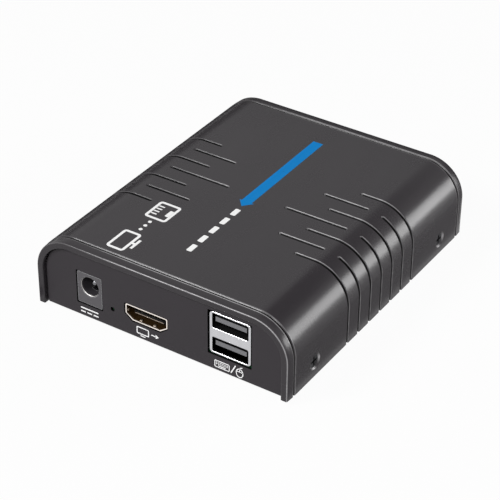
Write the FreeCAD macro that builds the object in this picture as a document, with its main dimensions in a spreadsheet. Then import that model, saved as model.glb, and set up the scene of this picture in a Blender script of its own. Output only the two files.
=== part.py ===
import FreeCAD, Part
import math
import os

import Sketcher

# Video extender receiver: a palm-sized box whose moulded cover closes over a folded steel tray.
# The tray's front panel shows a power jack, a reset pinhole, a video port and a stacked pair of
# peripheral ports; its rear panel shows the network jack and two status lamps.  Millimetres, +Z up,
# the front panel faces -Y, and the origin lies under the middle of the box, level with the feet.

# Every driving dimension: the name used in expressions, its size, and what it measures.
SIZES = (
    # Cover
    ("body_width", 90.0, "cover, outside width"),
    ("body_depth", 106.0, "cover, front edge to rear edge"),
    ("body_height", 25.5, "cover, lower edge to top"),
    ("corner_radius", 12.6, "cover, outside radius of the two top corners"),
    ("cover_wall", 2.4, "cover, wall thickness"),
    ("rim_slope_length", 3.2, "cover, how far each end tapers back from its edge"),
    ("rim_slope_drop", 0.25, "cover, how much each end tapers in"),
    ("rim_round", 0.35, "cover, rounding of the two end edges"),
    ("rim_groove_setback", 3.55, "cover, end edge to the middle of the groove round it"),
    ("rim_groove_width", 1.4, "groove round each end, width at the surface"),
    ("rim_groove_floor", 0.5, "groove round each end, width of its floor"),
    ("rim_groove_depth", 0.6, "groove round each end, depth"),
    ("groove_pitch", 6.5, "side grooves, spacing along the box"),
    ("side_groove_width", 1.2, "side grooves, width at the surface"),
    ("side_groove_floor", 0.4, "side grooves, width of the floor"),
    ("side_groove_depth", 0.8, "side grooves, depth"),
    ("outer_groove_reach", 18.7, "outermost long grooves, inner end from the cover's side"),
    ("inner_groove_reach", 22.6, "inner long grooves, inner end from the cover's side"),
    ("short_groove_reach", 7.5, "short side grooves, upper end from the cover's side"),
    ("dash_setback", 13.2, "grooves on the top alone, outer end from the cover's side"),
    ("outer_dash_reach", 28.2, "outer top grooves, inner end from the cover's side"),
    ("middle_dash_reach", 34.2, "middle top groove, inner end from the cover's side"),
    ("rib_height", 2.0, "stiffening ribs inside the cover, height"),
    ("rib_thickness", 1.2, "stiffening ribs inside the cover, thickness"),
    ("rib_gap", 0.4, "stiffening ribs, gap to the panel they stand behind"),
    # Tray and feet
    ("foot_height", 1.4, "rubber feet, height under the tray"),
    ("foot_diameter", 9.0, "rubber feet, diameter"),
    ("foot_bevel", 0.5, "rubber feet, bevel of the lower edge"),
    ("foot_side_inset", 8.35, "rubber feet, middle from the tray's side"),
    ("foot_end_inset", 10.8, "rubber feet, middle from the end panel's face"),
    ("tray_drop", 0.1, "tray, how far its underside sits below the cover's lower edge"),
    ("panel_recess", 1.2, "end panels, depth behind the cover's edges"),
    ("sheet_thickness", 0.7, "tray, sheet thickness"),
    ("bend_radius", 0.15, "tray, inside radius of each fold"),
    ("corner_relief", 1.8, "tray, slot that frees the ends of each side flange"),
    ("panel_relief", 0.4, "end panels, notch at each lower corner"),
    ("panel_round", 0.4, "end panels, rounding of the outer edge"),
    ("fit_gap", 0.25, "tray, gap to the cover all round"),
    ("flange_height", 10.0, "side flanges, height over the tray's underside"),
    ("flange_end_gap", 4.8, "side flanges, gap between each end and the end panel"),
    ("collar_diameter", 5.0, "threaded collars on the side flanges, diameter"),
    ("collar_length", 1.3, "threaded collars on the side flanges, length"),
    ("port_gap", 0.35, "panel cut-outs, gap round the connector inside"),
    ("port_recess", 0.2, "front connectors, depth of their faces behind the panel's face"),
    ("cutout_corner", 0.3, "front cut-outs, rounding of their corners"),
    # Screws
    ("side_screw_inset", 15.0, "side screws, distance from the cover's end"),
    ("side_screw_rise", 5.2, "side screws, height over the cover's lower edge"),
    ("side_screw_diameter", 3.0, "side screws, thread diameter"),
    ("side_screw_length", 6.0, "side screws, overall length"),
    ("side_hole_gap", 0.3, "side screws, clearance of the hole in the cover on the diameter"),
    ("countersink_diameter", 5.4, "side screws, countersink at the surface"),
    ("head_sink", 0.5, "side screws, depth of the head under the surface"),
    ("thread_gap", 0.04, "screws, gap to the wall of their threaded hole"),
    ("cross_length", 3.0, "side screws, length of the cross recess"),
    ("cross_width", 0.7, "side screws, width of the cross recess"),
    ("cross_depth", 0.9, "side screws, depth of the cross recess"),
    ("board_screw_diameter", 2.5, "board screws, thread diameter"),
    ("board_screw_head", 4.6, "board screws, head diameter"),
    ("board_screw_head_height", 1.6, "board screws, head height"),
    ("board_screw_length", 3.4, "board screws, length under the head"),
    # Board
    ("standoff_height", 2.8, "standoffs, tray floor to board"),
    ("standoff_diameter", 5.2, "standoffs, diameter"),
    ("board_thickness", 1.6, "board, thickness"),
    ("board_side_gap", 0.3, "board, gap to the tips of the side screws"),
    ("board_gap", 0.5, "board, gap to each end panel"),
    ("board_hole_inset", 3.7, "board holes, distance from the board's side"),
    ("front_hole_inset", 22.3, "front board holes, distance from the board's front end"),
    ("rear_hole_inset", 6.3, "rear board holes, distance from the board's rear end"),
    ("board_hole_gap", 0.4, "board holes, clearance round the screw on the diameter"),
    # Power jack
    ("jack_x", -26.0, "power jack, place across the front"),
    ("jack_width", 9.0, "power jack, width of its face"),
    ("jack_height", 11.1, "power jack, height of its face"),
    ("jack_corner", 0.5, "power jack, rounding of its face's corners"),
    ("jack_flange", 3.4, "power jack, thickness of its square front"),
    ("jack_length", 14.0, "power jack, overall length"),
    ("jack_barrel_width", 8.2, "power jack, width of its rounded rear part"),
    ("jack_axis_rise", 6.6, "power jack, height of the bore's axis over the board"),
    ("jack_bore", 6.4, "power jack, bore diameter"),
    ("jack_bore_depth", 9.6, "power jack, bore depth"),
    ("jack_lip", 0.35, "power jack, bevel at the mouth of the bore"),
    ("jack_pin_diameter", 2.1, "power jack, centre pin diameter"),
    ("jack_pin_recess", 1.9, "power jack, depth of the pin's tip behind the face"),
    ("jack_pin_shank", 1.6, "power jack, centre pin diameter where it passes the rear wall"),
    ("jack_tab_width", 2.6, "power jack, width of the pin's terminal"),
    ("jack_tab_thickness", 0.6, "power jack, thickness of the pin's terminal"),
    ("jack_slot_width", 3.2, "power jack, width of the slot for the spring"),
    ("jack_slot_depth", 1.4, "power jack, depth of the slot under the bore"),
    ("jack_spring_width", 2.8, "power jack spring, width"),
    ("jack_spring_thickness", 0.4, "power jack spring, thickness"),
    ("jack_spring_reach", 0.35, "power jack spring, how far it stands into the bore"),
    # Reset switch
    ("reset_x", -17.5, "reset switch, place across the front"),
    ("reset_rise", 2.05, "reset switch, height of the plunger's axis over the board"),
    ("pinhole_diameter", 1.5, "reset hole in the front panel, diameter"),
    ("reset_width", 6.0, "reset switch, width"),
    ("reset_height", 4.1, "reset switch, height"),
    ("reset_depth", 3.0, "reset switch, depth of the housing"),
    ("reset_setback", 2.2, "reset switch, gap between its frame and the panel"),
    ("reset_plate", 0.4, "reset switch, thickness of the metal frame"),
    ("reset_chamber", 4.2, "reset switch, diameter of the chamber in the housing"),
    ("reset_chamber_depth", 2.0, "reset switch, depth of the chamber"),
    ("plunger_diameter", 2.0, "reset plunger, stem diameter"),
    ("plunger_collar", 3.4, "reset plunger, collar diameter"),
    ("plunger_collar_length", 0.6, "reset plunger, collar thickness"),
    ("plunger_gap", 0.3, "reset plunger, gap to the parts round it"),
    ("plunger_tip_gap", 0.6, "reset plunger, gap between its tip and the panel"),
    # Video port
    ("video_x", -5.2, "video port, place across the front"),
    ("video_width", 15.1, "video port, outside width"),
    ("video_height", 5.3, "video port, outside height"),
    ("video_bottom_width", 9.9, "video port, width of its flat underside"),
    ("video_shoulder", 1.9, "video port, height of the sloping lower corners"),
    ("video_corner", 0.6, "video port, rounding of its top corners"),
    ("video_wall", 0.32, "video port, shell thickness"),
    ("video_length", 11.0, "video port, length"),
    ("video_rise", 0.8, "video port, height of its underside over the board"),
    ("video_block", 3.0, "video port, length of the insulator's solid rear end"),
    ("video_tongue_width", 11.0, "video port, tongue width"),
    ("video_tongue_thickness", 0.9, "video port, tongue thickness"),
    ("video_tongue_rise", 1.8, "video port, tongue over the shell's underside"),
    ("video_tongue_recess", 1.6, "video port, depth of the tongue's tip"),
    ("video_foot_length", 2.0, "video port, length of each foot of the shell"),
    ("video_upper_contacts", 10, "video port, number of contacts over the tongue"),
    ("video_lower_contacts", 9, "video port, number of contacts under the tongue"),
    ("video_contact_pitch", 1.0, "video port, contact spacing"),
    ("video_contact_width", 0.5, "video port, contact width"),
    ("contact_thickness", 0.14, "contacts of the front ports, thickness"),
    ("contact_setback", 0.7, "contacts of the front ports, distance from the tongue's tip"),
    ("press_gap", 0.03, "pressed pieces, gap to the wall round them"),
    ("round_share", 0.94, "domed tips and round crowns, rounding as a share of the half width"),
    # Stacked peripheral ports
    ("twin_x", 24.4, "stacked ports, place across the front"),
    ("twin_width", 14.3, "stacked ports, outside width"),
    ("twin_height", 14.7, "stacked ports, outside height"),
    ("twin_corner", 1.2, "stacked ports, rounding of the shell's corners"),
    ("twin_wall", 0.45, "stacked ports, shell thickness"),
    ("twin_length", 17.3, "stacked ports, length of the shell"),
    ("twin_gap", 0.45, "stacked ports, gap between the shell and the panel's cut-out"),
    ("twin_rise", 0.9, "stacked ports, height of the shell over the board"),
    ("twin_opening_width", 12.4, "stacked ports, width of each opening"),
    ("twin_opening_height", 5.15, "stacked ports, height of each opening"),
    ("twin_opening_corner", 0.5, "stacked ports, rounding of each opening's corners"),
    ("twin_edge", 0.55, "stacked ports, metal left over and under the two openings"),
    ("twin_lip", 0.25, "stacked ports, rounding of the edges on the face"),
    ("twin_block", 4.0, "stacked ports, length of the insulator's solid rear end"),
    ("twin_heel", 1.0, "stacked ports, part of the insulator behind the shell"),
    ("twin_tongue_width", 10.7, "stacked ports, tongue width"),
    ("twin_tongue_thickness", 1.6, "stacked ports, tongue thickness"),
    ("twin_tongue_drop", 1.3, "stacked ports, tongue under the top of its opening"),
    ("twin_tongue_recess", 0.65, "stacked ports, depth of the tongue's tip"),
    ("twin_foot_length", 2.2, "stacked ports, length of each foot of the shell"),
    ("twin_contact_width", 1.0, "stacked ports, contact width"),
    ("twin_outer_contact", 3.5, "stacked ports, outer contacts from the middle"),
    ("twin_inner_contact", 1.0, "stacked ports, inner contacts from the middle"),
    # Network jack
    ("net_x", -12.0, "network jack, place across the rear"),
    ("net_width", 16.0, "network jack, width"),
    ("net_height", 13.4, "network jack, height"),
    ("net_length", 21.0, "network jack, length"),
    ("net_wall", 0.35, "network jack, shield thickness"),
    ("net_corner", 0.6, "network jack, rounding of the shield's corners"),
    ("net_proud", 0.4, "network jack, how far the shield stands out of the panel"),
    ("net_face_recess", 0.3, "network jack, depth of the housing's face in the shield"),
    ("plug_width", 11.8, "network jack, width of the plug opening"),
    ("plug_height", 6.8, "network jack, height of the plug opening over the latch"),
    ("plug_top_drop", 2.9, "network jack, plug opening under the shield's top"),
    ("plug_depth", 13.0, "network jack, depth of the plug opening"),
    ("latch_width", 6.2, "network jack, width of the wide part of the latch notch"),
    ("latch_height", 1.3, "network jack, height of the wide part of the latch notch"),
    ("key_width", 3.4, "network jack, width of the narrow part of the latch notch"),
    ("key_height", 1.1, "network jack, height of the narrow part of the latch notch"),
    ("net_contact_count", 8, "network jack, number of contacts"),
    ("net_contact_pitch", 1.02, "network jack, contact spacing"),
    ("net_contact_width", 0.45, "network jack, contact width"),
    ("net_contact_thickness", 0.35, "network jack, contact thickness"),
    ("net_contact_start", 3.0, "network jack, depth of the contacts' front ends"),
    ("net_contact_bend", 4.2, "network jack, depth of the contacts' bend"),
    ("net_contact_stop", 9.5, "network jack, depth of the contacts' free ends"),
    ("net_contact_drop", 2.0, "network jack, drop of the contacts' free ends"),
    ("net_lamp_width", 3.0, "network jack lamps, width"),
    ("net_lamp_height", 1.9, "network jack lamps, height"),
    ("net_lamp_depth", 2.0, "network jack lamps, depth"),
    ("net_lamp_x", 5.6, "network jack lamps, distance from the jack's middle"),
    ("net_lamp_drop", 0.7, "network jack lamps, top under the shield's top"),
    # Status lamps
    ("status_x", 14.0, "status lamps, place of the first across the rear"),
    ("status_pitch", 8.0, "status lamps, spacing"),
    ("status_rise", 6.0, "status lamps, height of the axis over the board"),
    ("status_diameter", 3.0, "status lamps, lens diameter"),
    ("status_proud", 0.6, "status lamps, how far the lens stands out of the panel"),
    ("status_flange", 3.8, "status lamps, flange diameter"),
    ("status_flange_length", 1.0, "status lamps, flange thickness"),
    ("holder_width", 5.0, "lamp holders, width"),
    ("holder_depth", 3.4, "lamp holders, depth"),
    ("holder_cap", 2.2, "lamp holders, height over the lamp's axis"),
    ("holder_setback", 0.6, "lamp holders, gap to the panel"),
    ("lamp_gap", 0.1, "lamps, clearance round the lens on the diameter"),
    # Heat sink
    ("chip_size", 17.0, "processor, side"),
    ("chip_height", 1.4, "processor, height"),
    ("pad_size", 16.0, "thermal pad, side"),
    ("pad_thickness", 0.5, "thermal pad, thickness"),
    ("sink_size", 26.0, "heat sink, side"),
    ("sink_base", 2.0, "heat sink, thickness of the base"),
    ("fin_height", 7.0, "heat sink, fin height"),
    ("fin_thickness", 1.0, "heat sink, fin thickness"),
    ("fin_count", 9, "heat sink, number of fins"),
    # Small parts on the board
    ("can_diameter", 6.3, "capacitors, can diameter"),
    ("can_height", 7.2, "capacitors, can height"),
    ("can_base", 6.6, "capacitors, side of the base"),
    ("can_base_height", 0.8, "capacitors, height of the base"),
    ("can_groove", 0.35, "capacitors, depth of the crimp round the can and of its top bevel"),
    ("coil_size", 7.0, "inductors, side"),
    ("coil_height", 3.2, "inductors, height"),
    ("coil_corner", 1.4, "inductors, rounding of the upright edges"),
    ("crystal_length", 11.4, "crystals, length"),
    ("crystal_width", 4.7, "crystals, width"),
    ("crystal_height", 3.5, "crystals, height"),
    ("lead_thickness", 0.25, "leads of the small chips, thickness"),
    ("lead_reach", 1.0, "leads of the small chips, how far they stand out"),
    ("lead_width", 0.45, "leads of the small chips, width"),
)

# Where the small parts stand on the board: what each distance across and along is measured from.
BOARD_PLACES = (
    ("processor", "middle", 6.0, "middle", -2.0),
    ("capacitor_1", "left", 4.0, "middle", -1.0),
    ("capacitor_2", "right", 5.2, "rear", 24.3),
    ("inductor_1", "middle", -26.0, "front", 30.3),
    ("inductor_2", "middle", -26.0, "front", 39.3),
    ("crystal_1", "middle", -16.0, "middle", -12.0),
    ("crystal_2", "middle", -28.0, "middle", 11.0),
    ("memory_chip_1", "middle", 26.0, "middle", -8.0),
    ("memory_chip_2", "middle", 26.0, "middle", 7.0),
    ("video_driver_chip", "middle", -5.0, "front", 21.3),
    ("network_chip", "middle", -14.0, "rear", 38.3),
    ("flash_chip", "middle", -16.0, "middle", -3.0),
    ("network_transformer", "middle", -12.0, "rear", 27.3),
    ("regulator_1", "middle", -16.0, "front", 25.3),
    ("regulator_2", "middle", 9.0, "front", 23.3),
)

# Length, width and height of each kind of flat chip.
FLAT_CHIPS = (
    ("memory_chip", 9.0, 12.5, 1.1),
    ("video_driver_chip", 9.0, 9.0, 1.0),
    ("network_chip", 7.0, 7.0, 0.9),
)

# Length, width and height of each kind of chip on leads, the spacing of the leads and their pairs.
LEADED_CHIPS = (
    ("flash_chip", 5.2, 5.3, 1.9, 1.27, 4),
    ("network_transformer", 12.7, 9.2, 5.4, 1.27, 8),
    ("regulator", 6.5, 3.6, 1.7, 2.3, 3),
)

rows = list(SIZES)
for part, x_datum, x_distance, y_datum, y_distance in BOARD_PLACES:
    rows.append((f"{part}_x", x_distance, f"{part}, across from the board's {x_datum}"))
    rows.append((f"{part}_y", y_distance, f"{part}, along from the board's {y_datum}"))
for part, *chip_sizes in FLAT_CHIPS + LEADED_CHIPS:
    for measure, size in zip(("length", "width", "height", "pitch", "leads"), chip_sizes):
        rows.append((f"{part}_{measure}", size, f"{part}, {measure}"))

doc = FreeCAD.newDocument("video_extender_receiver")
sheet = doc.addObject("Spreadsheet::Sheet", "dim")
for row, (alias, size, meaning) in enumerate(rows, start=1):
    sheet.set(f"A{row}", meaning)
    sheet.set(f"B{row}", str(size))
    sheet.setAlias(f"B{row}", alias)
doc.recompute()

# Places that many pieces share, as expressions over the sheet.
SIDE = "(dim.body_width / 2)"
END = "(dim.body_depth / 2)"
COVER_BOTTOM = "(dim.foot_height + dim.tray_drop)"
COVER_TOP = f"({COVER_BOTTOM} + dim.body_height)"
CORNER_X = f"({SIDE} - dim.corner_radius)"
CORNER_Z = f"({COVER_TOP} - dim.corner_radius)"
RIB_BOTTOM = "(dim.foot_height + dim.flange_height)"
PANEL_FACE = f"({END} - dim.panel_recess)"
PANEL_BACK = f"({PANEL_FACE} - dim.sheet_thickness)"
PORT_FACE = f"({PANEL_FACE} - dim.port_recess)"
TRAY_SIDE = f"({SIDE} - dim.cover_wall - dim.fit_gap)"
TRAY_FLOOR = "(dim.foot_height + dim.sheet_thickness)"
BOARD_TOP = f"({TRAY_FLOOR} + dim.standoff_height + dim.board_thickness)"
FLANGE_END = f"({PANEL_BACK} - dim.flange_end_gap)"
SCREW_Y = f"({END} - dim.side_screw_inset)"
SCREW_Z = f"({COVER_BOTTOM} + dim.side_screw_rise)"
SCREW_FACE = f"({SIDE} - dim.head_sink)"
SCREW_TIP = f"({SCREW_FACE} - dim.side_screw_length)"
BOARD_SIDE = f"({SCREW_TIP} - dim.board_side_gap)"
BOARD_END = f"({PANEL_BACK} - dim.board_gap)"
RESET_Z = f"({BOARD_TOP} + dim.reset_rise)"
VIDEO_BOTTOM = f"({BOARD_TOP} + dim.video_rise)"
TWIN_BOTTOM = f"({BOARD_TOP} + dim.twin_rise)"
STATUS_Z = f"({BOARD_TOP} + dim.status_rise)"

pieces = []


def value(expression):
    """Work out an expression over the sheet as a plain number."""
    return float(sheet.evalExpression(expression))


def keep(piece, label):
    """Label a finished piece and put it on the list of pieces to export."""
    piece.Label = label
    pieces.append(piece)
    return piece


# Sketches


def origin_feature(body, role):
    """Return the plane or axis of a body's own origin that has the given role."""
    return next(feature for feature in body.Origin.OriginFeatures if feature.Role == role)


def new_body(name):
    """Add an empty body."""
    return doc.addObject("PartDesign::Body", name)


def new_sketch(body, plane, name, offset=None, slide=None, lift=None):
    """Add a sketch on a plane of the body's origin, moved along its normal and its own axes."""
    sketch = body.newObject("Sketcher::SketchObject", name)
    sketch.AttachmentSupport = [(origin_feature(body, plane), "")]
    sketch.MapMode = "FlatFace"
    for axis, distance in (("x", slide), ("y", lift), ("z", offset)):
        if distance:
            sketch.setExpression(f"AttachmentOffset.Base.{axis}", distance)
    return sketch


def constrain(sketch, expression, kind, *geometry):
    """Add a dimensional constraint whose size follows an expression."""
    number = sketch.addConstraint(Sketcher.Constraint(kind, *geometry, value(expression)))
    sketch.setExpression(f"Constraints[{number}]", expression)


def pin_point(sketch, curve, end, x, y):
    """Hold one point of a curve at (x, y) from the sketch's origin."""
    constrain(sketch, x, "DistanceX", -1, 1, curve, end)
    constrain(sketch, y, "DistanceY", -1, 1, curve, end)


def rounded_corner(before, corner, after, radius):
    """Find the two tangent points and the centre of an arc that rounds a corner."""
    back = (before - corner).normalize()
    ahead = (after - corner).normalize()
    half_angle = back.getAngle(ahead) / 2
    reach = radius / math.tan(half_angle)
    middle = (back + ahead).normalize()
    return corner + back * reach, corner + ahead * reach, corner + middle * (radius / math.sin(half_angle))


def add_outline(sketch, corners):
    """Draw a closed outline through corners given as (x, y) or (x, y, rounding) expressions."""
    points = [FreeCAD.Vector(value(corner[0]), value(corner[1]), 0) for corner in corners]
    count = len(points)
    starts = list(points)
    ends = list(points)
    centres = [None] * count
    for i, corner in enumerate(corners):
        if len(corner) == 3:
            ends[i], starts[i], centres[i] = rounded_corner(
                points[i - 1], points[i], points[(i + 1) % count], value(corner[2]))
    lines = []
    for i in range(count):
        following = (i + 1) % count
        lines.append(sketch.addGeometry(Part.LineSegment(starts[i], ends[following]), False))
    for i, corner in enumerate(corners):
        if centres[i] is None:
            sketch.addConstraint(Sketcher.Constraint("Coincident", lines[i - 1], 2, lines[i], 1))
            pin_point(sketch, lines[i], 1, corner[0], corner[1])
        else:
            add_corner_arc(sketch, lines[i - 1], lines[i], centres[i], (ends[i], starts[i]), corner)


def add_corner_arc(sketch, line_in, line_out, centre, tangent_points, corner):
    """Join two lines by an arc whose lines, drawn on, would meet at the corner."""
    arrive, leave = (point - centre for point in tangent_points)
    turns_left = arrive.cross(leave).z > 0
    first, last = (arrive, leave) if turns_left else (leave, arrive)
    start_angle = math.atan2(first.y, first.x)
    end_angle = math.atan2(last.y, last.x)
    circle = Part.Circle(centre, FreeCAD.Vector(0, 0, 1), arrive.Length)
    arc = sketch.addGeometry(Part.ArcOfCircle(circle, start_angle, end_angle), False)
    in_end, out_end = (1, 2) if turns_left else (2, 1)
    sketch.addConstraint(Sketcher.Constraint("Tangent", line_in, 2, arc, in_end))
    sketch.addConstraint(Sketcher.Constraint("Tangent", line_out, 1, arc, out_end))
    constrain(sketch, corner[2], "Radius", arc)
    meeting = sketch.addGeometry(Part.Point(FreeCAD.Vector(value(corner[0]), value(corner[1]), 0)), True)
    pin_point(sketch, meeting, 1, corner[0], corner[1])
    sketch.addConstraint(Sketcher.Constraint("PointOnObject", meeting, 1, line_in))
    sketch.addConstraint(Sketcher.Constraint("PointOnObject", meeting, 1, line_out))


def add_rectangle(sketch, x_low, x_high, y_low, y_high, rounding=None):
    """Draw a rectangle between two corners, its four corners rounded if a radius is given."""
    corners = ((x_low, y_low), (x_high, y_low), (x_high, y_high), (x_low, y_high))
    if rounding:
        corners = tuple(corner + (rounding,) for corner in corners)
    add_outline(sketch, corners)


def add_circle(sketch, x, y, diameter):
    """Draw a circle round (x, y)."""
    place = FreeCAD.Vector(value(x), value(y), 0)
    circle = sketch.addGeometry(Part.Circle(place, FreeCAD.Vector(0, 0, 1), value(diameter) / 2), False)
    pin_point(sketch, circle, 3, x, y)
    constrain(sketch, diameter, "Diameter", circle)


def board_place(part):
    """Return where a small part stands on the board."""
    datums = {
        "middle": "0 +",
        "left": f"-{BOARD_SIDE} +",
        "right": f"{BOARD_SIDE} -",
        "front": f"-{BOARD_END} +",
        "rear": f"{BOARD_END} -",
    }
    x_datum, y_datum = next((row[1], row[3]) for row in BOARD_PLACES if row[0] == part)
    return f"({datums[x_datum]} dim.{part}_x)", f"({datums[y_datum]} dim.{part}_y)"


# Features


def extrude(kind, body, sketch, name, length=None, symmetric=False, flipped=False):
    """Add a pad or a pocket; a pocket without a length goes right through."""
    feature = body.newObject(f"PartDesign::{kind}", name)
    feature.Profile = sketch
    feature.SideType = "Symmetric" if symmetric else "One side"
    feature.Reversed = flipped
    if length:
        feature.setExpression("Length", length)
    else:
        feature.Type = "ThroughAll"
    sketch.Visibility = False
    body.Tip = feature
    return feature


def mirror(body, originals, plane, name):
    """Repeat features on the other side of one of the body's origin planes."""
    feature = body.newObject("PartDesign::Mirrored", name)
    feature.Originals = originals
    feature.MirrorPlane = (origin_feature(body, plane), [""])
    body.Tip = feature
    return feature


def dress_edges(kind, body, name, chosen, **sizes):
    """Add a fillet or chamfer to the edges of the body's tip that the chosen test accepts."""
    doc.recompute()
    base = body.Tip
    edges = [f"Edge{i}" for i, edge in enumerate(base.Shape.Edges, start=1) if chosen(edge)]
    feature = body.newObject(f"PartDesign::{kind}", name)
    feature.Base = (base, edges)
    for prop, expression in sizes.items():
        feature.setExpression(prop, expression)
    body.Tip = feature
    return feature


def edge_middle(edge):
    """Return the point half way along an edge."""
    return edge.valueAt((edge.FirstParameter + edge.LastParameter) / 2)


def near(a, b, within=0.02):
    """Tell whether two lengths agree."""
    return abs(a - b) < within


def revolve(body, sketch, name, axis):
    """Turn a sketch right round one of its own axes."""
    feature = body.newObject("PartDesign::Revolution", name)
    feature.Profile = sketch
    feature.ReferenceAxis = (sketch, [axis])
    feature.Angle = 360
    body.Tip = feature
    return feature


def row_of(body, original, name, span, count):
    """Repeat a feature at even steps along X."""
    body.AllowCompound = True
    feature = body.newObject("PartDesign::LinearPattern", name)
    feature.Originals = [original]
    feature.Direction = (origin_feature(body, "X_Axis"), [""])
    feature.setExpression("Length", span)
    feature.setExpression("Occurrences", count)
    body.Tip = feature
    return feature


def place(solid, x, y, z):
    """Set where a solid's own origin lies."""
    for axis, expression in (("x", x), ("y", y), ("z", z)):
        solid.setExpression(f"Placement.Base.{axis}", expression)
    return solid


def block(name, x, y, z, length, width, height):
    """Add a block centred on (x, y) that stands on z."""
    solid = doc.addObject("Part::Box", name)
    for prop, expression in (("Length", length), ("Width", width), ("Height", height)):
        solid.setExpression(prop, expression)
    return place(solid, f"{x} - ({length}) / 2", f"{y} - ({width}) / 2", z)


def rod(name, x, y, z, diameter, height):
    """Add an upright round rod centred on (x, y) that stands on z."""
    solid = doc.addObject("Part::Cylinder", name)
    solid.setExpression("Radius", f"({diameter}) / 2")
    solid.setExpression("Height", height)
    return place(solid, x, y, z)


def join(name, solids):
    """Unite solids that touch into one."""
    union = doc.addObject("Part::MultiFuse", name)
    union.Shapes = solids
    return union


def carve(name, base, tools):
    """Take tools away from a base."""
    cut = doc.addObject("Part::Cut", name)
    cut.Base = base
    cut.Tool = tools[0] if len(tools) == 1 else join(f"{name}_tools", tools)
    return cut


def group(name, solids):
    """Keep separate solids together as one piece."""
    compound = doc.addObject("Part::Compound", name)
    compound.Links = solids
    return compound


def mirrored_copy(name, source, normal):
    """Copy a solid to the other side of a plane through the origin."""
    copy = doc.addObject("Part::Mirroring", name)
    copy.Source = source
    copy.Normal = normal
    return copy


# Cover


def cover_depth(point):
    """Return how far a point lies under the cover's plain outside surface."""
    across = abs(point.x) - value(CORNER_X)
    up = point.z - value(CORNER_Z)
    if across > 0 and up > 0:
        return value("dim.corner_radius") - math.hypot(across, up)
    return min(value(SIDE) - abs(point.x), value(COVER_TOP) - point.z)


def arch_strip(outer, inner, bottom):
    """Return the corners of a strip that follows the cover between two depths under its surface."""
    return (
        (f"{SIDE} - {outer}", bottom),
        (f"{SIDE} - {outer}", f"{COVER_TOP} - {outer}", f"dim.corner_radius - {outer}"),
        (f"-{SIDE} + {outer}", f"{COVER_TOP} - {outer}", f"dim.corner_radius - {outer}"),
        (f"-{SIDE} + {outer}", bottom),
        (f"-{SIDE} + {inner}", bottom),
        (f"-{SIDE} + {inner}", f"{COVER_TOP} - {inner}", f"dim.corner_radius - {inner}"),
        (f"{SIDE} - {inner}", f"{COVER_TOP} - {inner}", f"dim.corner_radius - {inner}"),
        (f"{SIDE} - {inner}", bottom),
    )


def groove_row(steps):
    """Return the places and sizes of the side grooves that stand at these steps along the box."""
    return [(f"dim.groove_pitch * {step}", "side_groove") for step in steps]


def add_groove_sections(sketch, surface, grooves, upright=False):
    """Draw the section of each groove: sloping sides that pass the surface, and a flat floor.

    The sections stand side by side along Y; depth runs along the sketch's x axis, or along its
    y axis if upright.
    """
    for y, kind in grooves:
        depth = f"dim.{kind}_depth"
        floor = f"dim.{kind}_floor / 2"
        mouth = f"(dim.{kind}_width - {floor})"
        corners = (
            (f"{surface} + {depth}", f"{y} - {mouth}"),
            (f"{surface} + {depth}", f"{y} + {mouth}"),
            (f"{surface} - {depth}", f"{y} + {floor}"),
            (f"{surface} - {depth}", f"{y} - {floor}"),
        )
        add_outline(sketch, [corner[::-1] for corner in corners] if upright else corners)


def cut_corner_grooves(body, name, grooves, turn):
    """Cut grooves round the right corner, from the side up through an angle."""
    sketch = new_sketch(body, "XY_Plane", f"{name}_sections", CORNER_Z, CORNER_X)
    add_groove_sections(sketch, "dim.corner_radius", grooves)
    feature = body.newObject("PartDesign::Groove", name)
    feature.Profile = sketch
    feature.ReferenceAxis = (sketch, ["V_Axis"])
    feature.Reversed = True
    feature.setExpression("Angle", turn)
    body.Tip = feature
    return feature


def cut_top_grooves(body, name, grooves, outer_end, reach):
    """Cut straight grooves across the top, from a place near the side as far in as they reach."""
    sketch = new_sketch(body, "YZ_Plane", f"{name}_sections", outer_end)
    add_groove_sections(sketch, COVER_TOP, grooves, upright=True)
    return extrude("Pocket", body, sketch, name, f"{outer_end} - {SIDE} + {reach}")


def cut_grooves(body):
    """Cut every groove on the right half of the cover, then repeat them on the left."""
    outer_long = groove_row((-3, 3))
    inner_long = groove_row((-1, 1))
    outer_short = groove_row((-2, 2))
    middle_short = groove_row((0,))
    rim_y = f"({END} - dim.rim_groove_setback)"
    rims = [(f"-{rim_y}", "rim_groove"), (rim_y, "rim_groove")]
    overrun = "dim.side_groove_depth"

    upright = new_sketch(body, "XY_Plane", "side_groove_sections", f"{COVER_BOTTOM} - {overrun}")
    add_groove_sections(upright, SIDE, outer_long + inner_long + outer_short + middle_short + rims)
    side_run = f"{CORNER_Z} - {COVER_BOTTOM} + {overrun}"
    short_turn = "acos((dim.corner_radius - dim.short_groove_reach) / dim.corner_radius)"
    dash_end = f"({SIDE} - dim.dash_setback)"
    cuts = [
        extrude("Pocket", body, upright, "side_grooves", side_run, flipped=True),
        cut_corner_grooves(body, "long_corner_grooves", outer_long + inner_long + rims, "90"),
        cut_corner_grooves(body, "short_corner_grooves", outer_short + middle_short, short_turn),
        cut_top_grooves(body, "outer_top_grooves", outer_long, CORNER_X, "dim.outer_groove_reach"),
        cut_top_grooves(body, "inner_top_grooves", inner_long, CORNER_X, "dim.inner_groove_reach"),
        cut_top_grooves(body, "outer_dashes", outer_short, dash_end, "dim.outer_dash_reach"),
        cut_top_grooves(body, "middle_dash", middle_short, dash_end, "dim.middle_dash_reach"),
        cut_top_grooves(body, "rim_top_grooves", rims, CORNER_X, SIDE),
    ]
    mirror(body, cuts, "YZ_Plane", "left_grooves")


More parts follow.
